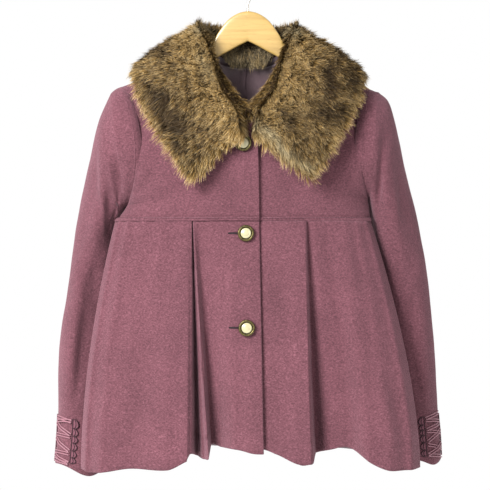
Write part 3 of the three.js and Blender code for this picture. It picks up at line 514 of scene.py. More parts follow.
def cloth_shell(name, grid, outward, thickness, around=False, **more):
    """A closed wall of cloth: the grid outside, the grid moved in by the thickness, and rounded rims."""
    rows, cols = grid.shape[:2]
    normals = grid_normals(grid, around, outward)
    thickness = np.broadcast_to(np.asarray(thickness, float), (rows, cols))
    inner = grid - normals * thickness[..., None]
    points = [grid.reshape(-1, 3), inner.reshape(-1, 3)]
    quads = [grid_quads(rows, cols, around), grid_quads(rows, cols, around, rows * cols)[:, ::-1]]
    count = 2 * rows * cols
    top, foot = np.arange(cols), (rows - 1) * cols + np.arange(cols)
    if around:
        rims = [top, foot[::-1]]
    else:
        left = np.arange(rows) * cols
        rims = [np.concatenate([top, left[1:] + cols - 1, foot[::-1][1:], left[::-1][1:-1]])]
    for ring in rims:
        outer_ring = points[0][ring]
        inner_ring = points[1][ring]
        middle = (outer_ring + inner_ring) / 2
        step = np.roll(outer_ring, -1, axis=0) - np.roll(outer_ring, 1, axis=0)
        away = np.cross(step, outer_ring - inner_ring) * outward
        away /= np.maximum(np.linalg.norm(away, axis=1, keepdims=True), 1e-9)
        points.append(middle + away * thickness.ravel()[ring][:, None] * RIM_ROUND)
        mid = np.arange(len(ring)) + count
        count += len(ring)
        n_ring = np.roll(ring, -1)
        n_mid = np.roll(mid, -1)
        quads.append(np.stack([n_ring, ring, mid, n_mid], -1))
        quads.append(np.stack([n_mid, mid, ring + rows * cols, n_ring + rows * cols], -1))
    quads = np.concatenate(quads)
    if outward < 0:
        quads = quads[:, ::-1]
    return make_piece(name, np.concatenate(points), quads, **more)


def wool_material():
    """Heavy melton with a raised, slightly curled nap: mauve, matt, with a soft pale bloom at the edges.

    The nap is drawn at 3 to 6 mm, as coarse as its tufts look from a step away."""
    material, tree, out = new_material("napped_wool")
    place = object_place(tree)
    warp, _ = noise(tree, place, Scale=140.0, Detail=2.0)
    shift = add_node(tree, "ShaderNodeVectorMath", {"operation": "SCALE"}, {"Scale": 0.006},
                     {"Vector": (warp, "Color")})
    bent = add_node(tree, "ShaderNodeVectorMath", {"operation": "ADD"}, links={"Vector": place})
    tree.links.new(shift.outputs[0], bent.inputs[1])
    lie = stretched(tree, (bent, "Vector"), (1.0, 1.0, 1.7))
    tuft = noise(tree, lie, Scale=330.0, Detail=4.0, Roughness=0.66)
    fibre = noise(tree, lie, Scale=900.0, Detail=3.0)
    patch = noise(tree, place, Scale=14.0, Detail=3.0)
    nap = add_node(tree, "ShaderNodeMapRange", values={"From Min": 0.32, "From Max": 0.68},
                   links={"Value": tuft})
    ramp = colour_ramp(tree, (nap, "Result"), (0, "#3B2127"), (0.5, "#4D2D34"), (1, "#603C44"))
    wide = add_node(tree, "ShaderNodeMapRange",
                    values={"From Min": 0.3, "From Max": 0.7, "To Min": 0.88, "To Max": 1.1},
                    links={"Value": patch})
    colour = add_node(tree, "ShaderNodeVectorMath", {"operation": "SCALE"},
                      links={"Vector": ramp, "Scale": (wide, "Result")})
    height = add_node(tree, "ShaderNodeMath", {"operation": "MULTIPLY_ADD"}, {1: 0.35}, {0: fibre, 2: tuft})
    principled(tree, out, {"Roughness": 0.95, "Specular IOR Level": 0.18, "Sheen Weight": 0.22,
                           "Sheen Roughness": 0.5, "Sheen Tint": srgb("#D9A9B6")},
               {"Base Color": (colour, "Vector"), "Normal": bump_of(tree, (height, "Value"), 0.75, 0.0022)})
    return material


def satin_material():
    """Dark plum satin: smooth, with a soft highlight drawn out along its folds, and faint slubs."""
    material, tree, out = new_material("satin_lining")
    slub = noise(tree, stretched(tree, object_place(tree), (500.0, 500.0, 30.0)), Scale=1.0, Detail=2.0)
    principled(tree, out, {"Roughness": 0.42, "Specular IOR Level": 0.55, "Anisotropic": 0.5,
                           "Sheen Weight": 0.04, "Sheen Tint": srgb("#9C8794")},
               {"Base Color": colour_ramp(tree, slub, (0, "#4B3C41"), (1, "#5F4F52")),
                "Normal": bump_of(tree, slub, 0.08, 0.0004)})
    return material

wool = wool_material()
satin = satin_material()


def line_with(piece, outside, shape, unlined=None):
    """The outside and rims take one cloth and the inner faces, second in the shell, the satin lining,
    save where a grid of flags says that the cloth is folded on itself unlined."""
    rows, cols = shape[:2]
    each = (rows - 1) * (cols - 1) if not piece.get("round") else (rows - 1) * cols
    piece.data.materials.append(outside)
    piece.data.materials.append(satin)
    index = np.zeros(len(piece.data.polygons), int)
    index[each:2 * each] = 1
    if unlined is not None:
        flags = unlined[:-1] | unlined[1:] if piece.get("round") else unlined[:-1, :-1] | unlined[1:, 1:]
        index[each:2 * each] = np.where(flags.ravel(), 0, 1)
    piece.data.polygons.foreach_set("material_index", index)


# Creases: width, height, half length, lean from upright in degrees, depth (a ridge if below 0), half
# width and bend.
FRONT_CREASES = [
    (-168, -262, 46, 12, 2.6, 9, 8), (-150, -330, 34, 38, 1.8, 10, -5), (-110, -352, 40, 70, 1.4, 12, 6),
    (170, -250, 52, -10, 3.0, 9, -8), (150, -322, 38, -36, 2.2, 10, 6), (104, -350, 44, -72, 1.4, 12, -6),
    (-60, -340, 46, 82, 1.0, 10, 3), (60, -330, 40, -20, 1.2, 14, 4), (-176, -230, 30, 20, -1.6, 7, 3),
]
BACK_CREASES = [
    (-160, -270, 50, 14, 2.6, 11, 8), (158, -265, 50, -14, 2.8, 11, -8), (-90, -330, 50, 64, 1.8, 13, 6),
    (84, -326, 54, -60, 1.8, 13, -6), (0, -230, 60, 4, 1.4, 18, 4), (-40, -352, 40, 84, 1.2, 12, 3),
]


def shoulder_lift(x, z):
    """How far the cloth is filled out where the shoulder rounds over into the sleeve."""
    left = 6.0 * bell(x, -209, 23)
    right = 9.0 * bell(x, 224, 15) + 6.0 * bell(x, 190, 12)
    return (left + right) * ramp_up(z, -290, 70)


# How many times a panel's depths are evened out over its rows, above the welt.
SMOOTHINGS = 40


def finished_panel(grid, creases, outward, seed):
    """A panel's points with its creases, its slight unevenness and the raised welt at its foot."""
    grid = grid.copy()
    grid[..., 2] += shoulder_lift(grid[..., 0], grid[..., 2])
    for _ in range(SMOOTHINGS):
        bend = grid[15:-2, 1:-1, 1] - 2 * grid[16:-1, 1:-1, 1] + grid[17:, 1:-1, 1]
        grid[16:-1, 1:-1, 1] += 0.25 * bend
    normals = grid_normals(grid, False, outward)
    x, z = grid[..., 0], grid[..., 2]
    sink = crease_depth(x, z, creases) + 0.7 * soft_unevenness(x, z, 26, seed)
    above = z - grid[:1, :, 2]
    calm = ramp_up(above, 5, 14) * np.clip((1 - PANEL_ROWS[:, None]) * 8, 0, 1)
    cols = grid.shape[1]
    edge_calm = np.minimum(np.linspace(0, 1, cols) * 12, 1) * np.minimum(np.linspace(1, 0, cols) * 10, 1)
    raised = WELT_RISE * ramp_down(above, WELT_HEIGHT + 0.8, 0.8)
    groove = 0.8 * bell(above - WELT_HEIGHT, 1.9, 1.1)
    lift = raised - groove - sink * calm * edge_calm[None, :]
    lifted = grid + normals * lift[..., None]
    lifted[0, :, 2] = grid[0, :, 2] + SEAM_GAP
    return lifted


panels = {
    "bodice_front_left": finished_panel(front_panel(-1, True), FRONT_CREASES, -1, 0.4),
    "bodice_front_right": finished_panel(front_panel(1, False), FRONT_CREASES, 1, 1.9),
    "bodice_back": finished_panel(back_panel(PANEL_ROWS, np.linspace(0, 1, 60)), BACK_CREASES, -1, 3.1),
}
PANEL_OUTWARD = {"bodice_front_left": -1, "bodice_front_right": 1, "bodice_back": -1}
# Cut of each panel: width and length of its rectangle, and its flat area, in metres.
PANEL_CUT = {
    "bodice_front_left": (0.25, 0.29, 0.049), "bodice_front_right": (0.25, 0.29, 0.0495),
    "bodice_back": (0.46, 0.30, 0.106),
}
for name, grid in panels.items():
    piece = cloth_shell("wool_" + name, grid, PANEL_OUTWARD[name], CLOTH, slot="wool", stands_for=[name],
                        crease=55)
    line_with(piece, wool, grid.shape)
    width, length, area = PANEL_CUT[name]

# Skirt
# Two fronts and a back of the same wool, cut flared, hung from the waist seam. A pressed pleat falls
# on each side of the front and the back, and the cloth rolls out in uneven folds towards the hem.
# Lines of the folds: x at the waist, how far the line is pressed back there, x, y and z at the hem, how
# it flares, and 1 where the cloth leaves it straight, as at a pressed edge, or 0 where it is rounded.
FRONT_LEFT_FOLDS = [
    (17, 0, 24, -109, -749, 1, 1), (4, 0, 8, -110, -748, 1, 0), (-20, 0, -16, -103, -742, 1, 0),
    (-60, 0.5, -42.5, -73, -737, 1, 1), (-77, 1.5, -57, -64, -733, 1, 0),
    (-84.4, 0, -61.5, -98, -756, 0.95, 1),
    (-85.4, 2, -69, -80, -756, 1, 0), (-86.2, 6, -79.5, -52, -750, 1, 0),
    (-87.4, 0.5, -88.2, -97, -748, 1, 0),
    (-93, 0, -95.5, -106, -760, 1, 0), (-126, 0, -124, -105, -773.5, 1.1, 0),
    (-158, 1, -185, -90, -771, 1.3, 0),
    (-182, 0, -226, -90, -777, 1.6, 0), (-198, 0, -250, -70, -776, 1.8, 0),
    (-206, 0, -259, -50, -771, 1.8, 1),
]
FRONT_RIGHT_FOLDS = [
    (-23, 5.2, -20, -90, -740, 1, 1), (14, 5.2, 18, -99, -740, 1, 0), (30, 3, 42, -101, -748, 1, 0),
    (72, 0, 80, -108, -765, 1, 0), (87, 0, 97, -108, -765, 1, 0), (90, 0.6, 101, -102, -763, 0.8, 1),
    (91.4, 6, 105, -54, -746, 0.9, 0), (104, 2, 130, -70, -741, 1.05, 0), (124, 2.5, 156, -72, -738, 1.1, 0),
    (148, 0, 190, -101, -762, 1.2, 0), (166, 0, 218, -103, -774, 1.4, 0), (181, 0, 252, -86, -773, 1.5, 0),
    (190, 0, 267, -50, -769, 1.6, 1),
]
BACK_FOLDS = [
    (-206, 0, -259, -49.7, -771, 1.8, 1), (-196, 0, -248, -22, -763, 1.7, 0),
    (-176, 0, -222, 20, -752, 1.4, 0),
    (-142, 1, -180, 62, -742, 1.2, 0), (-108, 0, -134, 100, -738, 1, 0), (-84, 0.4, -102, 106, -736, 1, 1),
    (-82.4, 6, -96, 76, -730, 1, 0), (-72, 0.5, -78, 92, -732, 1, 0), (-38, 0, -42, 108, -735, 1, 0),
    (4, 1, 4, 96, -731, 1, 0), (40, 0, 48, 110, -735, 1, 0), (68, 0.5, 80, 90, -732, 1, 0),
    (79.4, 6, 98, 74, -730, 1, 0), (81, 0.4, 104, 106, -736, 1, 1), (104, 0, 136, 98, -738, 1, 0),
    (130, 1, 182, 60, -742, 1.2, 0), (162, 0, 228, 18, -752, 1.3, 0), (181, 0, 256, -24, -762, 1.5, 0),
    (190, 0, 267, -49.7, -769, 1.6, 1),
]
FOLD_STEPS = 9
SKIRT_ROWS = 82
SKIRT_LENGTH = 370.0
HEM_TURN = 34.0


def skirt_line(fold, down, back):
    """A fold's line from the waist down to the hem; it flares as its ease says."""
    waist_x, behind, hem_x, hem_y, hem_z, ease, _ = fold
    spread = 1 - (1 - down) ** ease if ease >= 1 else down ** (1 / ease)
    s = min(abs(waist_x - WAIST_MID_X) / WAIST_HALF_WIDTH, 1)
    if back:
        waist_y = WAIST_SIDE_Y + SEAM_GAP + (WAIST_BACK_Y - WAIST_SIDE_Y) * fullness(s, 1.8, 0.65) - behind
    else:
        waist_y = WAIST_SIDE_Y + (WAIST_FRONT_Y - WAIST_SIDE_Y) * fullness(s, 3, 0.5) + behind
    return seen(waist_x + (hem_x - waist_x) * spread, waist_y + (hem_y - waist_y) * down,
                WAIST_Z - SEAM_GAP + (hem_z - WAIST_Z + SEAM_GAP) * down)


def skirt_panel(folds, back):
    """Between two lines the depth is a soft wave; it leaves a pressed line straight."""
    down = np.linspace(0, 1, SKIRT_ROWS)
    heights = np.stack([skirt_line(fold, down, back)[:, 2] for fold in folds])
    heights = along(heights, np.linspace(0, 1, (len(folds) - 1) * FOLD_STEPS + 1))
    columns = []
    for fold, following in zip(folds, folds[1:]):
        start = skirt_line(fold, down, back)
        end = skirt_line(following, down, back)
        for s in np.linspace(0, 1, FOLD_STEPS, endpoint=False):
            wave = ((s ** 3 - 2 * s ** 2 + s) * fold[6] + 3 * s ** 2 - 2 * s ** 3
                    + (s ** 3 - s ** 2) * following[6])
            point = start + (end - start) * s
            point[:, 1] = start[:, 1] + (end[:, 1] - start[:, 1]) * wave
            columns.append(point)
    columns.append(skirt_line(folds[-1], down, back))
    grid = np.stack(columns, axis=1)
    grid[..., 2] = heights.T
    return grid


def folded_thickness(grid):
    """The cloth's wall, pressed thin where a pleat's layers lie close on each other."""
    step = np.linalg.norm(np.gradient(grid, axis=1), axis=-1)
    padded = np.pad(step, ((0, 0), (5, 5)), mode="edge")
    near = sum(padded[:, k:k + step.shape[1]] for k in range(11)) / 11
    return np.clip(0.2 + 1.1 * near, 0.4, CLOTH)


# Creases of the skirt, as for the bodice: shallow troughs and ridges between the big folds.
SKIRT_FRONT_CREASES = [
    (-36, -470, 70, 3, 1.6, 9, 3), (-128, -470, 78, 8, 2.2, 13, 5), (-150, -620, 110, 12, 2.0, 15, -5),
    (-196, -560, 100, 20, 2.4, 12, 6), (-122, -650, 90, 4, -1.4, 10, 4), (-14, -640, 90, 2, 1.2, 14, -3),
    (56, -520, 120, -4, 2.2, 14, 5), (132, -500, 90, -12, 1.6, 10, 5), (200, -600, 120, -20, 2.6, 14, -6),
    (176, -470, 60, -16, 2.0, 12, 5), (60, -680, 70, -3, 1.6, 13, -4), (212, -700, 60, -14, -1.8, 9, 3),
]
SKIRT_BACK_CREASES = [
    (-60, -480, 80, 4, 2.0, 12, 4), (62, -500, 90, -6, 2.2, 12, -5), (0, -640, 110, 1, 1.6, 16, 4),
    (-150, -560, 110, 14, 2.4, 14, 6), (156, -540, 120, -14, 2.6, 14, -6), (-24, -700, 60, 3, -1.6, 10, 3),
]


def finished_skirt(grid, creases, outward, seed):
    """A skirt panel's points with its creases, its slight unevenness and the soft thickness of its hem."""
    normals = grid_normals(grid, False, outward)
    x, z = grid[..., 0], grid[..., 2]
    down = np.linspace(0, 1, len(grid))[:, None]
    grow = np.clip(down * 8, 0, 1) * np.minimum(np.linspace(0, 1, grid.shape[1]) * 16, 1)
    grow = grow * np.minimum(np.linspace(1, 0, grid.shape[1]) * 16, 1)
    sink = (crease_depth(x, z, creases) + 0.9 * soft_unevenness(x, z, 34, seed)
            + 0.35 * soft_unevenness(x, z, 11, seed + 5)) * grow
    above_hem = (1 - down) * SKIRT_LENGTH
    hem = 0.9 * bell(above_hem, HEM_TURN, 3.5) * grow
    return grid - normals * (sink + hem)[..., None]


skirts = {
    "skirt_front_left": finished_skirt(skirt_panel(FRONT_LEFT_FOLDS, False), SKIRT_FRONT_CREASES, 1, 0.7),
    "skirt_front_right": finished_skirt(skirt_panel(FRONT_RIGHT_FOLDS, False), SKIRT_FRONT_CREASES, -1, 2.2),
    "skirt_back": finished_skirt(skirt_panel(BACK_FOLDS, True), SKIRT_BACK_CREASES, 1, 4.4),
}
SKIRT_OUTWARD = {"skirt_front_left": 1, "skirt_front_right": -1, "skirt_back": 1}
SKIRT_CUT = {
    "skirt_front_left": (0.38, 0.39, 0.113), "skirt_front_right": (0.38, 0.39, 0.107),
    "skirt_back": (0.70, 0.39, 0.235),
}
for name, grid in skirts.items():
    thickness = folded_thickness(grid)
    piece = cloth_shell("wool_" + name, grid, SKIRT_OUTWARD[name], thickness, slot="wool", stands_for=[name],
                        crease=70)
    tight = np.pad(thickness < CLOTH * 0.999, ((0, 0), (14, 14)))
    unlined = sum(tight[:, k:k + grid.shape[1]] for k in range(29)) > 0
    line_with(piece, wool, grid.shape, unlined)
    width, length, area = SKIRT_CUT[name]

# Sleeves
# Two long tubes of the wool, set into the armholes with a rounded cap, that bend a little at the elbow.
# Rings down each sleeve: x and z of its outer and its inner side, half depth, and depth of its middle.
SLEEVES = {
    "left": [
        (-213, -195, -193, -367, 55, 1), (-229.5, -229, -199.5, -379, 55, 6),
        (-241, -273, -206, -396, 53, 12),
        (-252.7, -327, -207.5, -430, 50, 19), (-266.3, -398, -210, -484, 46, 26),
        (-278.5, -485, -215, -550, 44, 31),
        (-293, -588, -218, -628, 43, 36), (-294, -680, -223, -703, 42, 42), (-296, -726, -227, -744, 42, 46),
        (-299, -762, -230, -774, 41, 48),
    ],
    "right": [
        (202, -191, 188, -355, 55, 1), (221, -217, 190.5, -369, 55, 6), (234, -264, 192, -387, 53, 12),
        (246.5, -319, 197, -424, 50, 19), (264.3, -395, 205, -479, 46, 26),
        (279.5, -482, 216.5, -545, 44, 31),
        (289, -590, 222, -622, 43, 36), (294, -682, 227, -698, 42, 42), (297, -716, 230, -730, 42, 46),
        (299, -753, 233, -760, 41, 48),
    ],
}
# Hollows round a sleeve: turn, share down, half length, depth and half width.
SLEEVE_HOLLOWS = [
    (1.0, 0.3, 0.2, 5, 0.35), (2.1, 0.2, 0.16, 7, 0.4), (1.6, 0.55, 0.12, 3, 0.5),
    (4.4, 0.34, 0.2, 6, 0.4), (5.3, 0.62, 0.14, 3.5, 0.4),
]
# Creases as for the bodice, on each sleeve's front and on its back.
SLEEVE_CREASES = {
    "left": [
        (-229, -322, 86, 0, -3.4, 6, 2), (-202, -338, 62, 0, 6.0, 8, -13), (-238, -470, 60, 10, 2.2, 9, 8),
        (-262, -520, 46, -30, -1.6, 8, 5), (-246, -585, 54, 6, 1.8, 10, -6), (-228, -470, 24, 62, 2.0, 6, 3),
        (-256, -545, 125, 5, 7.5, 15, -6), (-262, -410, 60, 16, 2.4, 9, -6),
    ],
    "right": [
        (209, -306, 58, 6, 5.8, 6, 2), (228, -330, 70, -8, -2.4, 8, -3), (232, -440, 60, -12, 2.2, 9, -7),
        (262, -500, 50, 26, -1.6, 8, -4), (244, -590, 56, -6, 1.8, 10, 6), (228, -480, 24, -60, 2.0, 6, -3),
        (258, -560, 110, -5, 6.0, 14, 6), (256, -400, 60, -16, 2.4, 9, 6),
    ],
}
CUFF_FROM = 0.78
# How far the left sleeve's front turns back towards the body.
TURN_AWAY = 17.0
# Where a cuff's rim hangs lowest: turn, half width and drop.
LOW_RIM = {"left": (2.0, 0.8, 12.0), "right": (0.8, 0.6, 11.0)}
# How far a sleeve's back bulges towards the body under the arm.
INNER_BACK = 14.0
# Rows from the armhole down that have no lining.
UNLINED_ROWS = 18


def sleeve_point(name, down, turn, clear=0.0):
    """A sleeve's surface at a share down its length and a turn round it: 0 outside, a quarter in front."""
    rows = along(SLEEVES[name], down)
    outer_x, outer_z, inner_x, inner_z, half_depth, mid_y = np.moveaxis(rows, -1, 0)
    sink = 0
    for hollow_turn, centre, length, depth, width in SLEEVE_HOLLOWS:
        away = np.arctan2(np.sin(turn - hollow_turn), np.cos(turn - hollow_turn))
        sink = sink + depth * bell(away, 0, width) * bell(down, centre, length)
    half_height = np.hypot(outer_x - inner_x, outer_z - inner_z) / 2
    reach = 1 + (clear - sink) / np.minimum(half_height, half_depth)
    c = np.cos(turn) * reach
    return seen(inner_x + (outer_x - inner_x) * (0.5 + c / 2), mid_y - half_depth * np.sin(turn) * reach,
                inner_z + (outer_z - inner_z) * (0.5 + c / 2))


def sleeve_grid(name, side):
    """Rings from the armhole round the cap and down to the cuff, with the creases on front and back."""
    turn = np.linspace(0, math.tau, 84, endpoint=False)[None, :]
    down = np.linspace(0, 1, 90)[:, None]
    tube = sleeve_point(name, down + 0 * turn, turn + 0 * down)
    seam = armhole(side, turn[0], SEAM_GAP)
    reach = (tube[0] - seam)[None]
    share = np.linspace(0, 1, 9)[:-1][:, None]
    bow = share * math.pi / 2
    cap = np.stack([
        seam[None, :, 0] + reach[..., 0] * (0.7 * share + 0.3 * np.sin(bow)),
        seam[None, :, 1] + reach[..., 1] * share,
        seam[None, :, 2] + reach[..., 2] * (0.75 * share + 0.25 * (1 - np.cos(bow))),
    ], -1)
    # The seam allowance lies inside the armhole.
    allowance = seam * [1, 0.96, 1] - [side * 10, 0, 0]
    cap = np.concatenate([allowance[None], cap])
    grid = np.concatenate([cap, tube])
    inner_back = np.sin(np.clip((turn - 0.95 * math.pi) / (0.6 * math.pi), 0, 1) * math.pi)
    share_down = np.concatenate([np.zeros(len(cap)), down[:, 0]])[:, None]
    start = np.concatenate([[0], share[:, 0] * 0.7, np.clip(0.7 + down[:, 0] * 20, 0, 1)])[:, None]
    near_body = bell(share_down, 0.12, 0.15) * start
    grid[..., 0] -= side * INNER_BACK * inner_back * near_body
    rim_turn, rim_half, rim_drop = LOW_RIM[name]
    drop = rim_drop * bell(turn, rim_turn, rim_half)
    grid[..., 2] -= drop * ramp_up(share_down, 0.88, 0.12) ** 2
    grid[..., 2] += shoulder_lift(grid[..., 0], grid[..., 2])
    x, z = grid[..., 0], grid[..., 2]
    front = np.clip(np.sin(turn) * 2.5, 0, 1)
    if name == "left":
        inner = np.clip((x + 280 - 0.144 * (z + 550)) / 46, 0, 1)
        between = ramp_down(share_down, 0.82, 0.15) * ramp_up(share_down, 0.12, 0.2)
        grid[..., 1] += TURN_AWAY * inner ** 2 * (3 - 2 * inner) * front * between
    normals = grid_normals(grid, True, side)
    behind = np.clip(-np.sin(turn) * 2.5, 0, 1)
    row = np.arange(len(grid))[:, None]
    calm = np.clip(row / 8, 0, 1) * np.clip((len(grid) - 1 - row) / 6, 0, 1)
    near_cuff = ramp_up(down[:, 0] - CUFF_FROM, -0.05, 0.05)
    cuff = np.concatenate([np.zeros(len(cap)), near_cuff])[:, None]
    sink = crease_depth(x, z, SLEEVE_CREASES[name]) * front * (1 - cuff)
    sink = sink + 0.8 * crease_depth(x, z - 22, SLEEVE_CREASES[name]) * behind * (1 - cuff)
    uneven = 0.9 * soft_unevenness(x * 1.6, z, 24, 7.0 + side) + 0.3 * soft_unevenness(x, z, 9, 2)
    sink = (sink + uneven * (1 - 0.7 * cuff)) * calm
    return grid - normals * sink[..., None]


SLEEVE_CUT = {"left": (0.34, 0.60, 0.136), "right": (0.34, 0.60, 0.130)}
for name, side in (("left", -1), ("right", 1)):
    grid = sleeve_grid(name, side)
    piece = cloth_shell("wool_sleeve_" + name, grid, side, CLOTH, around=True, slot="wool",
                        stands_for=["sleeve_" + name], crease=70)
    piece["round"] = 1
    unlined = np.zeros(grid.shape[:2], bool)
    unlined[:UNLINED_ROWS] = True
    line_with(piece, wool, grid.shape, unlined)
    width, length, area = SLEEVE_CUT[name]

# Lining
# The satin back lining that shows in the neck, with a seam down its middle and soft upright folds.
LINING = 1.2
lining_grid = back_panel(np.linspace(0.25, 0.965, 56), np.linspace(0, 4 / 9, 110))
normals = grid_normals(lining_grid, False, -1)
x, z = lining_grid[..., 0], lining_grid[..., 2]
fold = 3.4 * bell(x, -4.5, 0.9) - 1.8 * bell(x, -11, 4.5)
fold = fold + 1.1 * np.sin(x / 9.0 + z / 60.0) * bell(x, 0, 60.0) + 0.7 * np.sin(x / 5.2 - z / 44.0)
inward = 5.4 + np.clip(fold, -2.2, 3.0) * 0.8
lining_grid = lining_grid - normals * inward[..., None]
lining = cloth_shell("satin_lining_back", lining_grid, -1, LINING, slot="satin", stands_for=["lining_back"],
                     crease=70)
lining.data.materials.append(satin)

# Stitching
# One line of wool-coloured thread holds the welt all round the waist.
STITCH = 3.4
STITCH_GAP = 0.9
THREAD = 0.42
STITCH_HEIGHT = 3.6


def stitches(path):
    """Short stretches of thread along a path, each sunk at its ends."""
    steps = np.linalg.norm(np.diff(path, axis=0), axis=1)
    run = np.concatenate([[0], np.cumsum(steps)])
    parts = []
    for start in np.arange(1.0, run[-1] - STITCH, STITCH + STITCH_GAP):
        at = start + STITCH * np.linspace(0, 1, 5)
        points = np.stack([np.interp(at, run, path[:, k]) for k in range(3)], -1)
        parts.append((points, THREAD * np.array([0.35, 0.9, 1.0, 0.9, 0.35])))
    return parts


def thread_piece(name, stretches, sides, **more):
    """One mesh of many short tubes."""
    return make_piece(name, *join_meshes([tube_mesh(p, r, sides) for p, r in stretches]), **more)


lines = []
for name, grid in panels.items():
    normals = grid_normals(grid, False, PANEL_OUTWARD[name])
    above = grid[:, :, 2] - grid[:1, :, 2]
    row = int(np.argmin(np.abs(above[:, 5] - STITCH_HEIGHT)))
    line = grid[row] + normals[row] * 0.18
    if name == "bodice_front_right":
        line = line[line[:, 0] > 19]
    lines += stitches(line)
welt_thread = thread_piece("welt_stitching", lines, 5, slot="wool")
# Polyester thread, darker than the wool, with the slight shine of a twisted filament.
welt_thread.data.materials.append(plain_thread("sewing_thread", "#26151A", 0.7))

# Fur collar
# Two wings of long faux fur on a knitted backing that stand up round the neck, roll over and end in
# wide points. Each wing is a backing shell with its pile, 9 to 23 mm long, sewn to the neckline.
# From the centre back to the front edge: a wing's inner edge, roll and outer edge, each as x, y and z,
# and how far it swells between roll and edge.
COLLAR_SECTIONS = [
    (0, 14, -154, 0, 42, -86, 0, 88, -236, 26), (-28, 11, -148, -40, 38, -82, -72, 86, -228, 26),
    (-46, 10, -112, -68, 26, -76, -140, 64, -204, 26), (-58, 2, -96, -76, 2, -74, -181, 18, -158, 14),
    (-54, -16, -106, -66, -24, -84, -184, -34, -156, 20),
    (-42, -24, -142, -47, -40, -126, -171, -66, -198, 22),
    (-22, -42, -178, -34, -58, -172, -145, -84, -244, 16),
    (-5, -62, -203, -12, -79, -206, -117, -94, -290, 10),
    (-3, -73, -216, -1, -91, -247, -90, -96, -325, 4),
]
ROLL_AT = 0.25
FUR_DEPTH = 17.0
FUR_EDGE = 7.0
RIGHT_WING_LEAN = 9.0
# How far the fur sags over the shoulders.
RIGHT_WING_DROP = 11.0
LEFT_WING_DROP = 4.5
# Where the wings meet: x of the closing, and the height down to which their fur closes over it.
WINGS_MEET = (6.0, -254.0)


def collar_point(side, u, v):
    """The fur's outer surface: u from the centre back to the front edge, v from inside the neck outwards."""
    rows = along(COLLAR_SECTIONS, u)
    inner, roll, edge, swell = rows[..., 0:3], rows[..., 3:6], rows[..., 6:9], rows[..., 9]
    a = np.minimum(v / ROLL_AT, 1) * math.pi / 2
    x = inner[..., 0] + (roll[..., 0] - inner[..., 0]) * np.sin(a)
    y = inner[..., 1] + (roll[..., 1] - inner[..., 1]) * (1 - np.cos(a))
    z = inner[..., 2] + (roll[..., 2] - inner[..., 2]) * np.sin(a)
    out = np.clip((v - ROLL_AT) / (1 - ROLL_AT), 0, 1)
    lift = swell * np.sin(out * math.pi) ** 0.8
    forward = np.sign(roll[..., 1]) * np.minimum(np.abs(roll[..., 1]) / 40, 1)
    facing = np.stack([0.35 * np.sign(edge[..., 0]), forward, np.full(u.shape, 0.5)], -1)
    facing /= np.linalg.norm(facing, axis=-1, keepdims=True)
    point = roll + (edge - roll) * out[..., None] + facing * lift[..., None]
    beyond = v > ROLL_AT
    x, y, z = (np.where(beyond, point[..., k], c) for k, c in enumerate((x, y, z)))
    if side > 0:
        x = x - RIGHT_WING_LEAN * u * u * out
    over_arm = np.sin(ramp_up(u, 0.08, 0.74) * math.pi) ** 0.8 * ramp_up(v, 0.15, 0.25)
    p = seen(x, y, z - (RIGHT_WING_DROP if side > 0 else LEFT_WING_DROP) * over_arm)
    p[..., 0] = np.minimum(p[..., 0], -SEAM_GAP / 2)
    p[..., 0] *= -side
    return p


def collar_depth(u, v):
    """Depth of the pile: thin at the neck, the outer edge and the front edge."""
    rim = np.minimum(np.minimum(v * 9 / 4, (1 - v) * 9 / 2), 1) * np.minimum((1 - u) * 18 + 0.6, 1)
    return FUR_EDGE + (FUR_DEPTH - FUR_EDGE) * np.clip(rim, 0, 1)


def unit(v):
    """Vectors brought to length 1."""
    return v / np.maximum(np.linalg.norm(v, axis=-1, keepdims=True), 1e-9)


# Marks of the pile, in reading width and height: centre, half sizes and lean in degrees.
DARK_PATCHES = [
    (-119, -219, 16, 46, -34, 1.0), (-108, -251, 27, 13, 0, 0.9), (-99, -279, 15, 9, 0, 0.6),
    (-64, -172, 5, 13, -25, 0.8), (-133, -124, 20, 14, 0, 0.5), (122, -174, 8, 32, 0, 1.0),
    (124, -225, 32, 14, 0, 0.75), (112, -285, 9, 8, 0, 0.9), (46, -223, 8, 11, 0, 1.0),
    (157, -170, 13, 22, 0, 0.6), (57, -240, 9, 12, 0, 0.6), (150, -120, 16, 12, 20, 0.4),
]
GREY_MARKS = [
    (7, -242, 8, 8, 0, 0.6), (26, -256, 5, 20, -50, 0.6), (52, -279, 6, 22, -50, 0.6),
    (84, -305, 5, 18, -50, 0.45),
    (71, -92, 14, 9, 0, 0.5), (-76, -90, 12, 9, 0, 0.35), (-60, -150, 9, 26, -30, 0.25),
]


def blot(x, z, marks):
    """How far points lie in soft oval marks, from 0 to 1."""
    total = np.zeros_like(x)
    for mx, mz, half_x, half_z, lean, strength in marks:
        a = math.radians(lean)
        along_mark = (x - mx) * math.sin(a) + (z - mz) * math.cos(a)
        across = (x - mx) * math.cos(a) - (z - mz) * math.sin(a)
        total = np.maximum(total, strength * np.exp(-((across / half_x) ** 2) - (along_mark / half_z) ** 2))
    return total


# How deep in the pile its strands are rooted, as a share, and how many tufts a wing has each way.
PILE_SHARE = 0.80
CLUMPS_U = 62
CLUMPS_V = 38
# A strand's root, bend and tip, as shares of its length.
STRAND_STEPS = np.array([0.0, 0.55, 1.0])


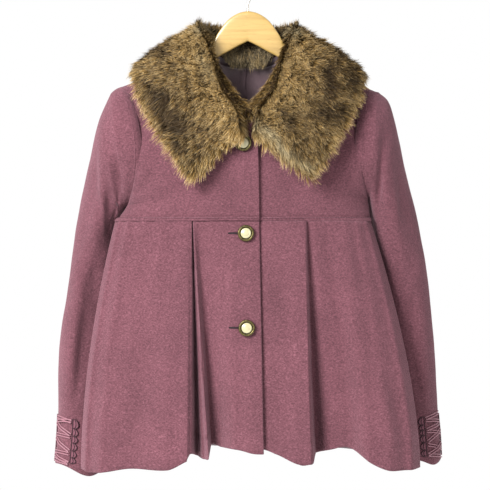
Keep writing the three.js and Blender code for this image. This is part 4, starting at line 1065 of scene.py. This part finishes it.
def fur_pile(side, count, seed):
    """Tapered ribbons rooted on the backing. They lean the way the pile is brushed, gather into tufts
    and droop; each carries its share along, its tone and its greyness."""
    rng = np.random.default_rng(seed)
    us, vs = np.meshgrid(np.linspace(0, 0.985, 150), np.linspace(0.02, 0.955, 80))
    p = collar_point(side, us, vs)
    across = np.gradient(p, axis=1)
    outwards = np.gradient(p, axis=0)
    normal = unit(np.cross(across, outwards)) * side
    depth = collar_depth(us, vs)
    cell = np.linalg.norm(np.cross(across, outwards), axis=-1)[:-1, :-1]
    chance = (cell / cell.sum()).ravel()
    pick = rng.choice(len(chance), count, p=chance)
    i, j = np.divmod(pick, cell.shape[1])
    fi, fj = rng.random(count)[:, None], rng.random(count)[:, None]

    def at(field):
        field = field if field.ndim == 3 else field[..., None]
        return ((field[i, j] * (1 - fi) + field[i + 1, j] * fi) * (1 - fj)
                + (field[i, j + 1] * (1 - fi) + field[i + 1, j + 1] * fi) * fj)

    place, n, lie = at(p), unit(at(normal)), unit(at(outwards))
    sideways = unit(at(across))
    u, v, deep = at(us)[:, 0], at(vs)[:, 0], at(depth)[:, 0]
    upward = np.clip(n[:, 2], 0, 1) * ramp_up(v, 0.1, 0.1)
    root = place - n * (deep * PILE_SHARE + 3.5 * upward)[:, None]
    # Tufts: strands near each other lean to one point, and share some of their tone and length.
    cu = np.clip((u + rng.normal(0, 0.006, count)) * CLUMPS_U, 0, CLUMPS_U - 0.01).astype(int)
    cv = np.clip((v + rng.normal(0, 0.010, count)) * CLUMPS_V, 0, CLUMPS_V - 0.01).astype(int)
    table = np.random.default_rng(seed // 10)
    centre_u = (np.arange(CLUMPS_U)[None] + table.random((CLUMPS_V, CLUMPS_U))) / CLUMPS_U
    centre_v = (np.arange(CLUMPS_V)[:, None] + table.random((CLUMPS_V, CLUMPS_U))) / CLUMPS_V
    centres = collar_point(side, np.clip(centre_u, 0, 0.985), np.clip(centre_v, 0.02, 0.955))
    lean = table.normal(0, 1, (CLUMPS_V, CLUMPS_U, 3))
    tuft_tone = table.normal(0, 1, (CLUMPS_V, CLUMPS_U))
    pull = np.clip(centres[cv, cu] - place, -6, 6) * 0.45
    # Above the top button the tips of both wings lean to the closing and meet there.
    above = ramp_up(place[:, 2], WINGS_MEET[1], 6) * ramp_up(u, 0.45, 0.1)
    aside = place[:, 0] - WINGS_MEET[0]
    pull[:, 0] -= np.clip(aside, -9, 9) * 1.15 * above * bell(aside, 0, 16)
    # At the throat they also lie down, so that the wings meet in a point.
    throat = bell(aside, 0, 24) * ramp_down(v, 0.24, 0.1) * ramp_up(u, 0.6, 0.1)
    pull[:, 2] -= 9.0 * throat
    sway = np.sin(u * 21 + v * 9 + side) * 0.5 + np.sin(u * 47 - v * 17) * 0.4
    inside = ramp_down(v, 0.17, 0.06) * ramp_down(u, 0.45, 0.15)
    neck_front = ramp_up(u, 0.45, 0.2) * ramp_down(v, 0.36, 0.1)
    on_roll = bell(v, 0.25, 0.10)
    near_edge = ramp_up(v, 0.87, 0.08)
    near_front = ramp_up(u, 0.925, 0.06)
    rim = np.maximum(near_edge, near_front)
    length = (12.5 + 7 * ramp_up(v, 0.12, 0.2)) * (1 + 0.15 * rng.normal(size=count))
    length = np.clip(length * (1 + 0.12 * tuft_tone[cv, cu]), 8, 25) * (1 - 0.18 * rim)
    length = length * (1 - 0.3 * neck_front * (1 - near_front)) * (1 - 0.2 * upward)
    down = np.array([0.0, 0.0, -1.0])
    turned_in = ramp_down(v, 0.15, 0.06)
    lie = lie * (1 - 2 * turned_in)[:, None]
    rise = 0.78 + 0.12 * on_roll * (1 - neck_front) - 0.30 * rim - 0.2 * inside - 0.2 * neck_front
    lay = 0.38 - 0.22 * on_roll * (1 - neck_front) + 0.30 * near_edge + 0.30 * neck_front
    swept = 0.22 * sway + (0.62 + 0.5 * neck_front) * near_front
    first = (n * rise[:, None] + lie * lay[:, None] + sideways * swept[:, None]
             + lean[cv, cu] * 0.10 + rng.normal(0, 0.12, (count, 3)))
    second = (lie * 0.16 + down * 0.16 - n * 0.12 + sideways * (0.10 * sway)[:, None]
              + lean[cv, cu][:, [1, 2, 0]] * 0.08)
    t = STRAND_STEPS[None, :, None]
    length = length[:, None, None]
    spine = (root[:, None] + length * (first[:, None] * t + second[:, None] * t ** 2)
             + pull[:, None] * t ** 1.6)
    heading = unit(np.gradient(spine, axis=1))
    turned = n[:, None] + rng.normal(0, 0.45, (count, 1, 3))
    wide = unit(np.cross(heading, turned))
    half_width = (0.27 + 0.13 * rng.random(count))[:, None] * np.array([0.9, 1.0, 0.0])[None]
    left = spine - wide * half_width[..., None]
    right = spine + wide * half_width[..., None]
    points = np.concatenate([np.stack([left[:, :2], right[:, :2]], 2).reshape(count, 4, 3), spine[:, 2:]], 1)
    base = (np.arange(count) * 5)[:, None]
    quads = base + [0, 1, 3, 2]
    tris = base + [2, 3, 4]
    shares = np.tile(STRAND_STEPS[[0, 0, 1, 1, 2]], (count, 1))
    x, z = place[:, 0], place[:, 2]
    front = place[:, 1] < 8
    # Dark patches are the pile's own markings; the 0.35 share of inside is painted shade on the stand inside
    # the neck.
    dark = np.clip(blot(x, z, DARK_PATCHES) * front * (1 - rim) + 0.35 * inside, 0, 1)
    band = bell(v, 0.36, 0.12)
    # Painted light: the turned-in strands along the inner edge are made lighter to take out the shade that
    # the roll casts on them.
    painted_light_turned_in = ramp_down(v, 0.21, 0.08) * ramp_up(u, 0.2, 0.15)
    tone = (0.30 + 0.14 * tuft_tone[cv, cu] + 0.26 * rng.normal(size=count)
            - 0.80 * dark + 0.44 * rim + 0.48 * band + 0.34 * painted_light_turned_in)
    grey = np.clip(blot(x, z, GREY_MARKS) * front + 0.15 * inside + 0.08 * rng.random(count), 0, 1)
    facing = unit(n[:, None] * 0.9 + heading[:, :1] * 0.1 + rng.normal(0, 0.36, (count, 1, 3)))
    return {
        "points": points.reshape(-1, 3), "quads": quads, "tris": tris, "along": shares,
        "tone": np.repeat(np.clip(tone, 0, 1), 5), "grey": np.repeat(grey, 5),
        "facing": np.repeat(facing, 5, axis=1).reshape(-1, 3),
    }


# Backing: a dark brown knit that shows only between the tufts and under the wings.
backing_material, tree, out = new_material("fur_backing")
loops = noise(tree, object_place(tree), Scale=500.0, Detail=2.0)
principled(tree, out, {"Roughness": 0.95, "Specular IOR Level": 0.1},
           {"Base Color": colour_ramp(tree, loops, (0, "#171007"), (1, "#2A1D0E")),
            "Normal": bump_of(tree, loops, 0.5, 0.001)})
# Faux fur of acrylic fibre: brown roots, tawny shafts and light gold tips; some tufts dark, some grey. Its
# tone also carries painted shade inside the neck and painted light on the turned-in strands.
pile_material, tree, out = new_material("faux_fur_pile")
shares, tones, greys = [(add_node(tree, "ShaderNodeAttribute", {"attribute_name": key}), "Fac")
                        for key in ("along", "tone", "grey")]
light = colour_ramp(tree, shares, (0, "#140C03"), (0.4, "#402E0F"), (0.75, "#816332"), (1, "#DEC493"))
dark = colour_ramp(tree, shares, (0, "#080401"), (0.5, "#170E05"), (1, "#35230F"))
grey = colour_ramp(tree, shares, (0, "#14100A"), (1, "#AA9F80"))
tawny = add_node(tree, "ShaderNodeMixRGB", links={"Fac": tones, "Color1": dark, "Color2": light})
pile_colour = add_node(tree, "ShaderNodeMixRGB",
                       links={"Fac": greys, "Color1": (tawny, "Color"), "Color2": grey})
principled(tree, out, {"Roughness": 0.55, "Specular IOR Level": 0.08}, {"Base Color": (pile_colour, "Color")})

PILE_PIECES = 2
STRANDS = 41000
for name, side, seed in (("left", -1, 410), ("right", 1, 620)):
    us, vs = np.meshgrid(np.linspace(0, 0.975, 72), np.linspace(0.02, 0.93, 46))
    surface = collar_point(side, us, vs)
    normals = grid_normals(surface, False, side)
    deep = collar_depth(us, vs)
    backing_grid = surface - normals * (deep * (PILE_SHARE - 0.02))[..., None]
    backing = cloth_shell("fur_backing_" + name, backing_grid, side, deep * (1 - PILE_SHARE), slot="fur",
                          stands_for=["collar_" + name], crease=80)
    backing.data.materials.append(backing_material)
    for k in range(PILE_PIECES):
        pile = fur_pile(side, STRANDS, seed + k)
        piece = make_piece(f"fur_pile_{name}_{k + 1}", pile["points"], pile["quads"], pile["tris"],
                           slot="fur", attributes={key: pile[key] for key in ("along", "tone", "grey")})
        piece.data.normals_split_custom_set_from_vertices(pile["facing"])
        piece.data.materials.append(pile_material)

# Buttons
# Three shanked buttons: an antiqued brass cup with a raised rim holds a domed cream face with a faint ring.
# Number, x and z of each button's centre, and the depth of the cloth under it.
BUTTONS = [(1, -7, -266.6, -69.4), (2, -3.3, -406.4, -68.5), (3, -2, -553.2, -85.8)]
# Profiles of cup and face: radius, and height over the cloth.
CUP_PROFILE = [
    (0, 0), (3, 0), (3, 0.3), (3, 1.9), (3, 2.2), (3.4, 2.2), (10.4, 2.2), (10.8, 2.2), (11.4, 2.6),
    (12.2, 3.3),
    (12.7, 4.0), (12.8, 4.6), (12.7, 5.4), (12.4, 6.0), (11.9, 6.6), (11.2, 6.9), (10.4, 6.9), (9.7, 6.6),
    (9.2, 6.0), (8.6, 5.2), (8.3, 4.8), (8.2, 4.4), (0, 4.4),
]
FACE_PROFILE = [
    (0, 4.7), (7.8, 4.7), (8.0, 4.9), (8.0, 5.9), (7.8, 6.4), (7.3, 6.8), (6.6, 7.05), (5.9, 7.2), (5.4, 7.0),
    (5.0, 7.0), (4.6, 7.3), (3.8, 7.5), (2.2, 7.7), (0, 7.8),
]


def lathe(profile, seat, sides):
    """A closed turned body: its profile's radius and height, with the height standing towards the viewer."""
    profile = np.asarray(profile, float)
    ring = profile[1:-1]
    angle = np.arange(sides) / sides * math.tau
    y = np.repeat(-ring[:, 1:], sides, 1)
    points = np.stack([ring[:, :1] * np.cos(angle), y, ring[:, :1] * np.sin(angle)], -1)
    ends = np.array([[0, -profile[0, 1], 0], [0, -profile[-1, 1], 0]])
    quads = grid_quads(len(ring), sides, True)[:, ::-1]
    caps = end_caps(sides, len(ring))[:, [0, 2, 1]]
    return np.concatenate([points.reshape(-1, 3), ends]) + seat, quads, caps


# Brass, antiqued: dark in its hollows with a worn yellow rim, slightly uneven.
brass_material, tree, out = new_material("antiqued_brass")
wear = noise(tree, object_place(tree), Scale=420.0, Detail=4.0)
principled(tree, out, {"Metallic": 0.85, "Roughness": 0.42},
           {"Base Color": colour_ramp(tree, wear, (0.35, "#2C2817"), (0.65, "#5C5330")),
            "Normal": bump_of(tree, wear, 0.15, 0.0004)})
# Cast resin, polished, ivory with faint clouding.
face_material, tree, out = new_material("ivory_resin")
cloud = noise(tree, object_place(tree), Scale=160.0, Detail=3.0)
principled(tree, out,
           {"Roughness": 0.3, "Specular IOR Level": 0.5, "Coat Weight": 0.3, "Coat Roughness": 0.12},
           {"Base Color": colour_ramp(tree, cloud, (0, "#837C56"), (1, "#918C74"))})
for number, x, z, cloth_y in BUTTONS:
    seat = seen(x, cloth_y - SEAM_GAP, z)
    rim = make_piece(f"brass_cup_{number}", *lathe(CUP_PROFILE, seat, 64), slot="button_metal",
                     stands_for=[f"button_rim_{number}"], crease=50)
    rim.data.materials.append(brass_material)
    face = make_piece(f"resin_face_{number}", *lathe(FACE_PROFILE, seat, 64), slot="button_face",
                      stands_for=[f"button_face_{number}"], crease=50)
    face.data.materials.append(face_material)

# Buttonholes
# Worked level across the overlap, each from the shank outwards: a ring of close thread round a cut.
HOLE_LENGTH = 29.0
HOLE_HALF = 0.9
BEAD = 0.7
# Points round a buttonhole's ring, its stitches, and points along the cut inside it.
HOLE_POINTS = 320
HOLE_STITCHES = 62
CUT_POINTS = 24


def surface_y(grid, x, z):
    """Depth of a panel's surface at width x and height z, from its six nearest points."""
    flat = grid.reshape(-1, 3)
    away = (flat[None, :, 0] - x[:, None]) ** 2 + (flat[None, :, 2] - z[:, None]) ** 2
    near = np.argpartition(away, 6, axis=1)[:, :6]
    weight = 1 / (np.take_along_axis(away, near, 1) + 0.5)
    return (flat[near, 1] * weight).sum(1) / weight.sum(1)


# Buttonhole twist, waxed and nearly black; the same dark colour paints the shade in each open slit.
hole_material = plain_thread("buttonhole_twist", "#1C1014", 0.7)
hole_parts = []
slit_shade_parts = []
for number, x, z, cloth_y in BUTTONS:
    grid = panels["bodice_front_left"] if number == 1 else skirts["skirt_front_left"]
    shank = seen(x, cloth_y, z)
    start, end = shank[0] + 2.0, shank[0] - HOLE_LENGTH + 2.0
    a = np.linspace(0, math.tau, 97)
    eye = 1 + 0.5 * bell(np.cos(a), -1, 0.16)
    ring_x = (start + end) / 2 + (start - end) / 2 * np.sign(np.cos(a)) * np.abs(np.cos(a)) ** 0.35
    ring_z = shank[2] + HOLE_HALF * eye * np.sign(np.sin(a)) * np.abs(np.sin(a)) ** 0.6
    coarse, fine = np.linspace(0, 1, len(a)), np.linspace(0, 1, HOLE_POINTS)
    ring_x = np.interp(fine, coarse, ring_x)
    ring_z = np.interp(fine, coarse, ring_z)
    y = surface_y(grid, ring_x, ring_z) - 0.35
    beads = BEAD * (0.82 + 0.18 * np.abs(np.sin(np.linspace(0, math.pi * HOLE_STITCHES, HOLE_POINTS))))
    hole_parts.append(tube_mesh(np.stack([ring_x, y, ring_z], -1), beads, 7))
    # The tube along the cut is painted shade: a dark strand of the twist that stands for the shade in the
    # open slit.
    cut_x = np.linspace(end + 1, start - 1, CUT_POINTS)
    cut_z = np.full(CUT_POINTS, shank[2])
    cut = np.stack([cut_x, surface_y(grid, cut_x, cut_z) - 0.1, cut_z], -1)
    slit_shade_parts.append(tube_mesh(cut, 0.55, 6))
holes = make_piece("buttonhole_thread", *join_meshes(hole_parts), slot="wool")
holes.data.materials.append(hole_material)
slit_shade_piece = make_piece("buttonhole_slit_shade", *join_meshes(slit_shade_parts), slot="satin")
slit_shade_piece.data.materials.append(hole_material)

# Laced cuffs
# On the outer front of each cuff pairs of twisted cords cross between two strips of scalloped lace. All
# is sewn to the sleeve. A lacing's place is given by shares down the sleeve, then turns round it.
LACING = {"left": (0.79, 0.985, 0.2, 1.15), "right": (0.785, 0.985, 0.2, 1.15)}
# Each pair of cords: its share down at the outer and at the inner side, and how far it crosses over.
CUFF_CORDS = {
    "left": [
        (0.797, 0.801, 0), (0.812, 0.798, 0.5), (0.815, 0.853, 1), (0.865, 0.863, 0), (0.879, 0.924, 1),
        (0.936, 0.937, 0), (0.947, 0.983, 1), (0.972, 0.989, 0),
    ],
    "right": [
        (0.781, 0.793, 0), (0.814, 0.800, 0.5), (0.822, 0.853, 1), (0.890, 0.864, 0), (0.866, 0.917, 1),
        (0.955, 0.930, 0), (0.930, 0.975, 1), (0.992, 0.978, 0),
    ],
}
CORD = 1.0
CORD_APART = 1.9
CORD_LIFT = 1.7
CORD_PITCH = 1.9


def cuff_path(name, start, end, count, lift):
    """A path laid on the cuff between two places, each a share down and a turn round, lifted off it."""
    t = np.linspace(0, 1, count)
    down = start[0] + (end[0] - start[0]) * t
    turn = start[1] + (end[1] - start[1]) * t
    return sleeve_point(name, down, turn, np.broadcast_to(lift, count))


def twin_cords(name, start, end, count, lift):
    """Two round cords side by side along the same path, each waved a little by its twist."""
    path = cuff_path(name, start, end, count, lift)
    over = cuff_path(name, start, end, count, np.broadcast_to(lift, count) + 1.0)
    out = unit(over - path)
    beside = unit(np.cross(unit(np.gradient(path, axis=0)), out))
    run = np.concatenate([[0], np.cumsum(np.linalg.norm(np.diff(path, axis=0), axis=1))])
    ripple = CORD * (1 + 0.10 * np.sin(run * math.tau / CORD_PITCH))
    return [(path + beside * CORD_APART * s, ripple) for s in (-1, 1)]


def scallop_rim(start, end, turn, width, lobes, count):
    """The outer line of the lace, a row of round lobes: each point's share down and turn round."""
    t = np.linspace(0, 1, count)
    lobe = np.abs(np.sin(t * lobes * math.pi)) ** 0.55
    return start + (end - start) * t, turn + width * (0.32 + 0.68 * lobe)


# Twisted rayon cord: dusty mauve with a soft shine and fine slanting strands.
cord_material, tree, out = new_material("rayon_cord")
strand = noise(tree, object_place(tree), Scale=1400.0, Detail=2.0)
principled(tree, out, {"Roughness": 0.5, "Specular IOR Level": 0.4, "Sheen Weight": 0.25,
                       "Sheen Tint": srgb("#C79AA8")},
           {"Base Color": colour_ramp(tree, strand, (0, "#644049"), (1, "#785159"))})
# Corded cotton lace, dyed a dark wine: matt, knobbly thread.
lace_material, tree, out = new_material("corded_lace")
knob = noise(tree, object_place(tree), Scale=1100.0, Detail=3.0)
principled(tree, out, {"Roughness": 0.85, "Specular IOR Level": 0.2},
           {"Base Color": colour_ramp(tree, knob, (0, "#4A2C34"), (1, "#5E3A43")),
            "Normal": bump_of(tree, knob, 0.5, 0.0005)})
# The same cotton in a darker thread, which outlines the scallops; on the front band its dark also paints the
# shade along the scallop gaps.
edging_thread_and_shade_material = plain_thread("dark_lace_thread_and_painted_shade", "#2A171D", 0.8)
SCALLOPS = 6
LACE_THREAD = 0.55
LACE_ROWS = 121
LACE_COLUMNS = 9
CORD_STEPS = 40
for name, side in (("left", -1), ("right", 1)):
    top, low, turn_a, turn_b = LACING[name]
    cords = []
    over = 0.3 + 1.6 * bell(np.linspace(0, 1, CORD_STEPS), 0.5, 0.16)
    for outer_down, inner_down, lift in CUFF_CORDS[name]:
        cords += twin_cords(name, (outer_down, turn_a), (inner_down, turn_b), CORD_STEPS,
                            CORD_LIFT + lift * over)
    lacing = thread_piece("cuff_cords_" + name, cords, 7, slot="cord", stands_for=["cuff_lacing_" + name])
    lacing.data.materials.append(cord_material)
    for where, turn, width in (("front", turn_b + 0.075, 0.25), ("back", turn_a - 0.075, -0.20)):
        downs, rim_turn = scallop_rim(top, low, turn, width, SCALLOPS, LACE_ROWS)
        share = np.linspace(0, 1, LACE_COLUMNS)
        down_grid = np.repeat(downs[:, None], LACE_COLUMNS, 1)
        turn_grid = turn + (rim_turn - turn)[:, None] * share[None]
        phase = (downs - top) / (low - top) * SCALLOPS * math.pi
        ribs = 0.22 * np.cos(phase * 5)[:, None] * np.sin(share * math.pi)[None]
        lace_grid = sleeve_point(name, down_grid, turn_grid, 1.1 + ribs)
        outward = int(np.sign(width)) * side
        lace = cloth_shell(f"lace_band_{name}_{where}", lace_grid, outward, 0.7, slot="lace",
                           stands_for=[f"cuff_trim_{name}_{where}"], crease=80)
        lace.data.materials.append(lace_material)
        # The edging's threads: turn round the cuff, lift off the sleeve, and thickness.
        runs = ((rim_turn, 1.3, 1.35), (turn + (rim_turn - turn) * 0.55, 1.5, 1),
                (np.full(LACE_ROWS, turn), 1.4, 1.6))
        threads = [(sleeve_point(name, downs, at, rise), np.full(LACE_ROWS, LACE_THREAD * thick))
                   for at, rise, thick in runs]
        edging = thread_piece(f"lace_cord_{name}_{where}", threads, 6, slot="lace")
        edging.data.materials.append(edging_thread_and_shade_material if where == "front" else lace_material)
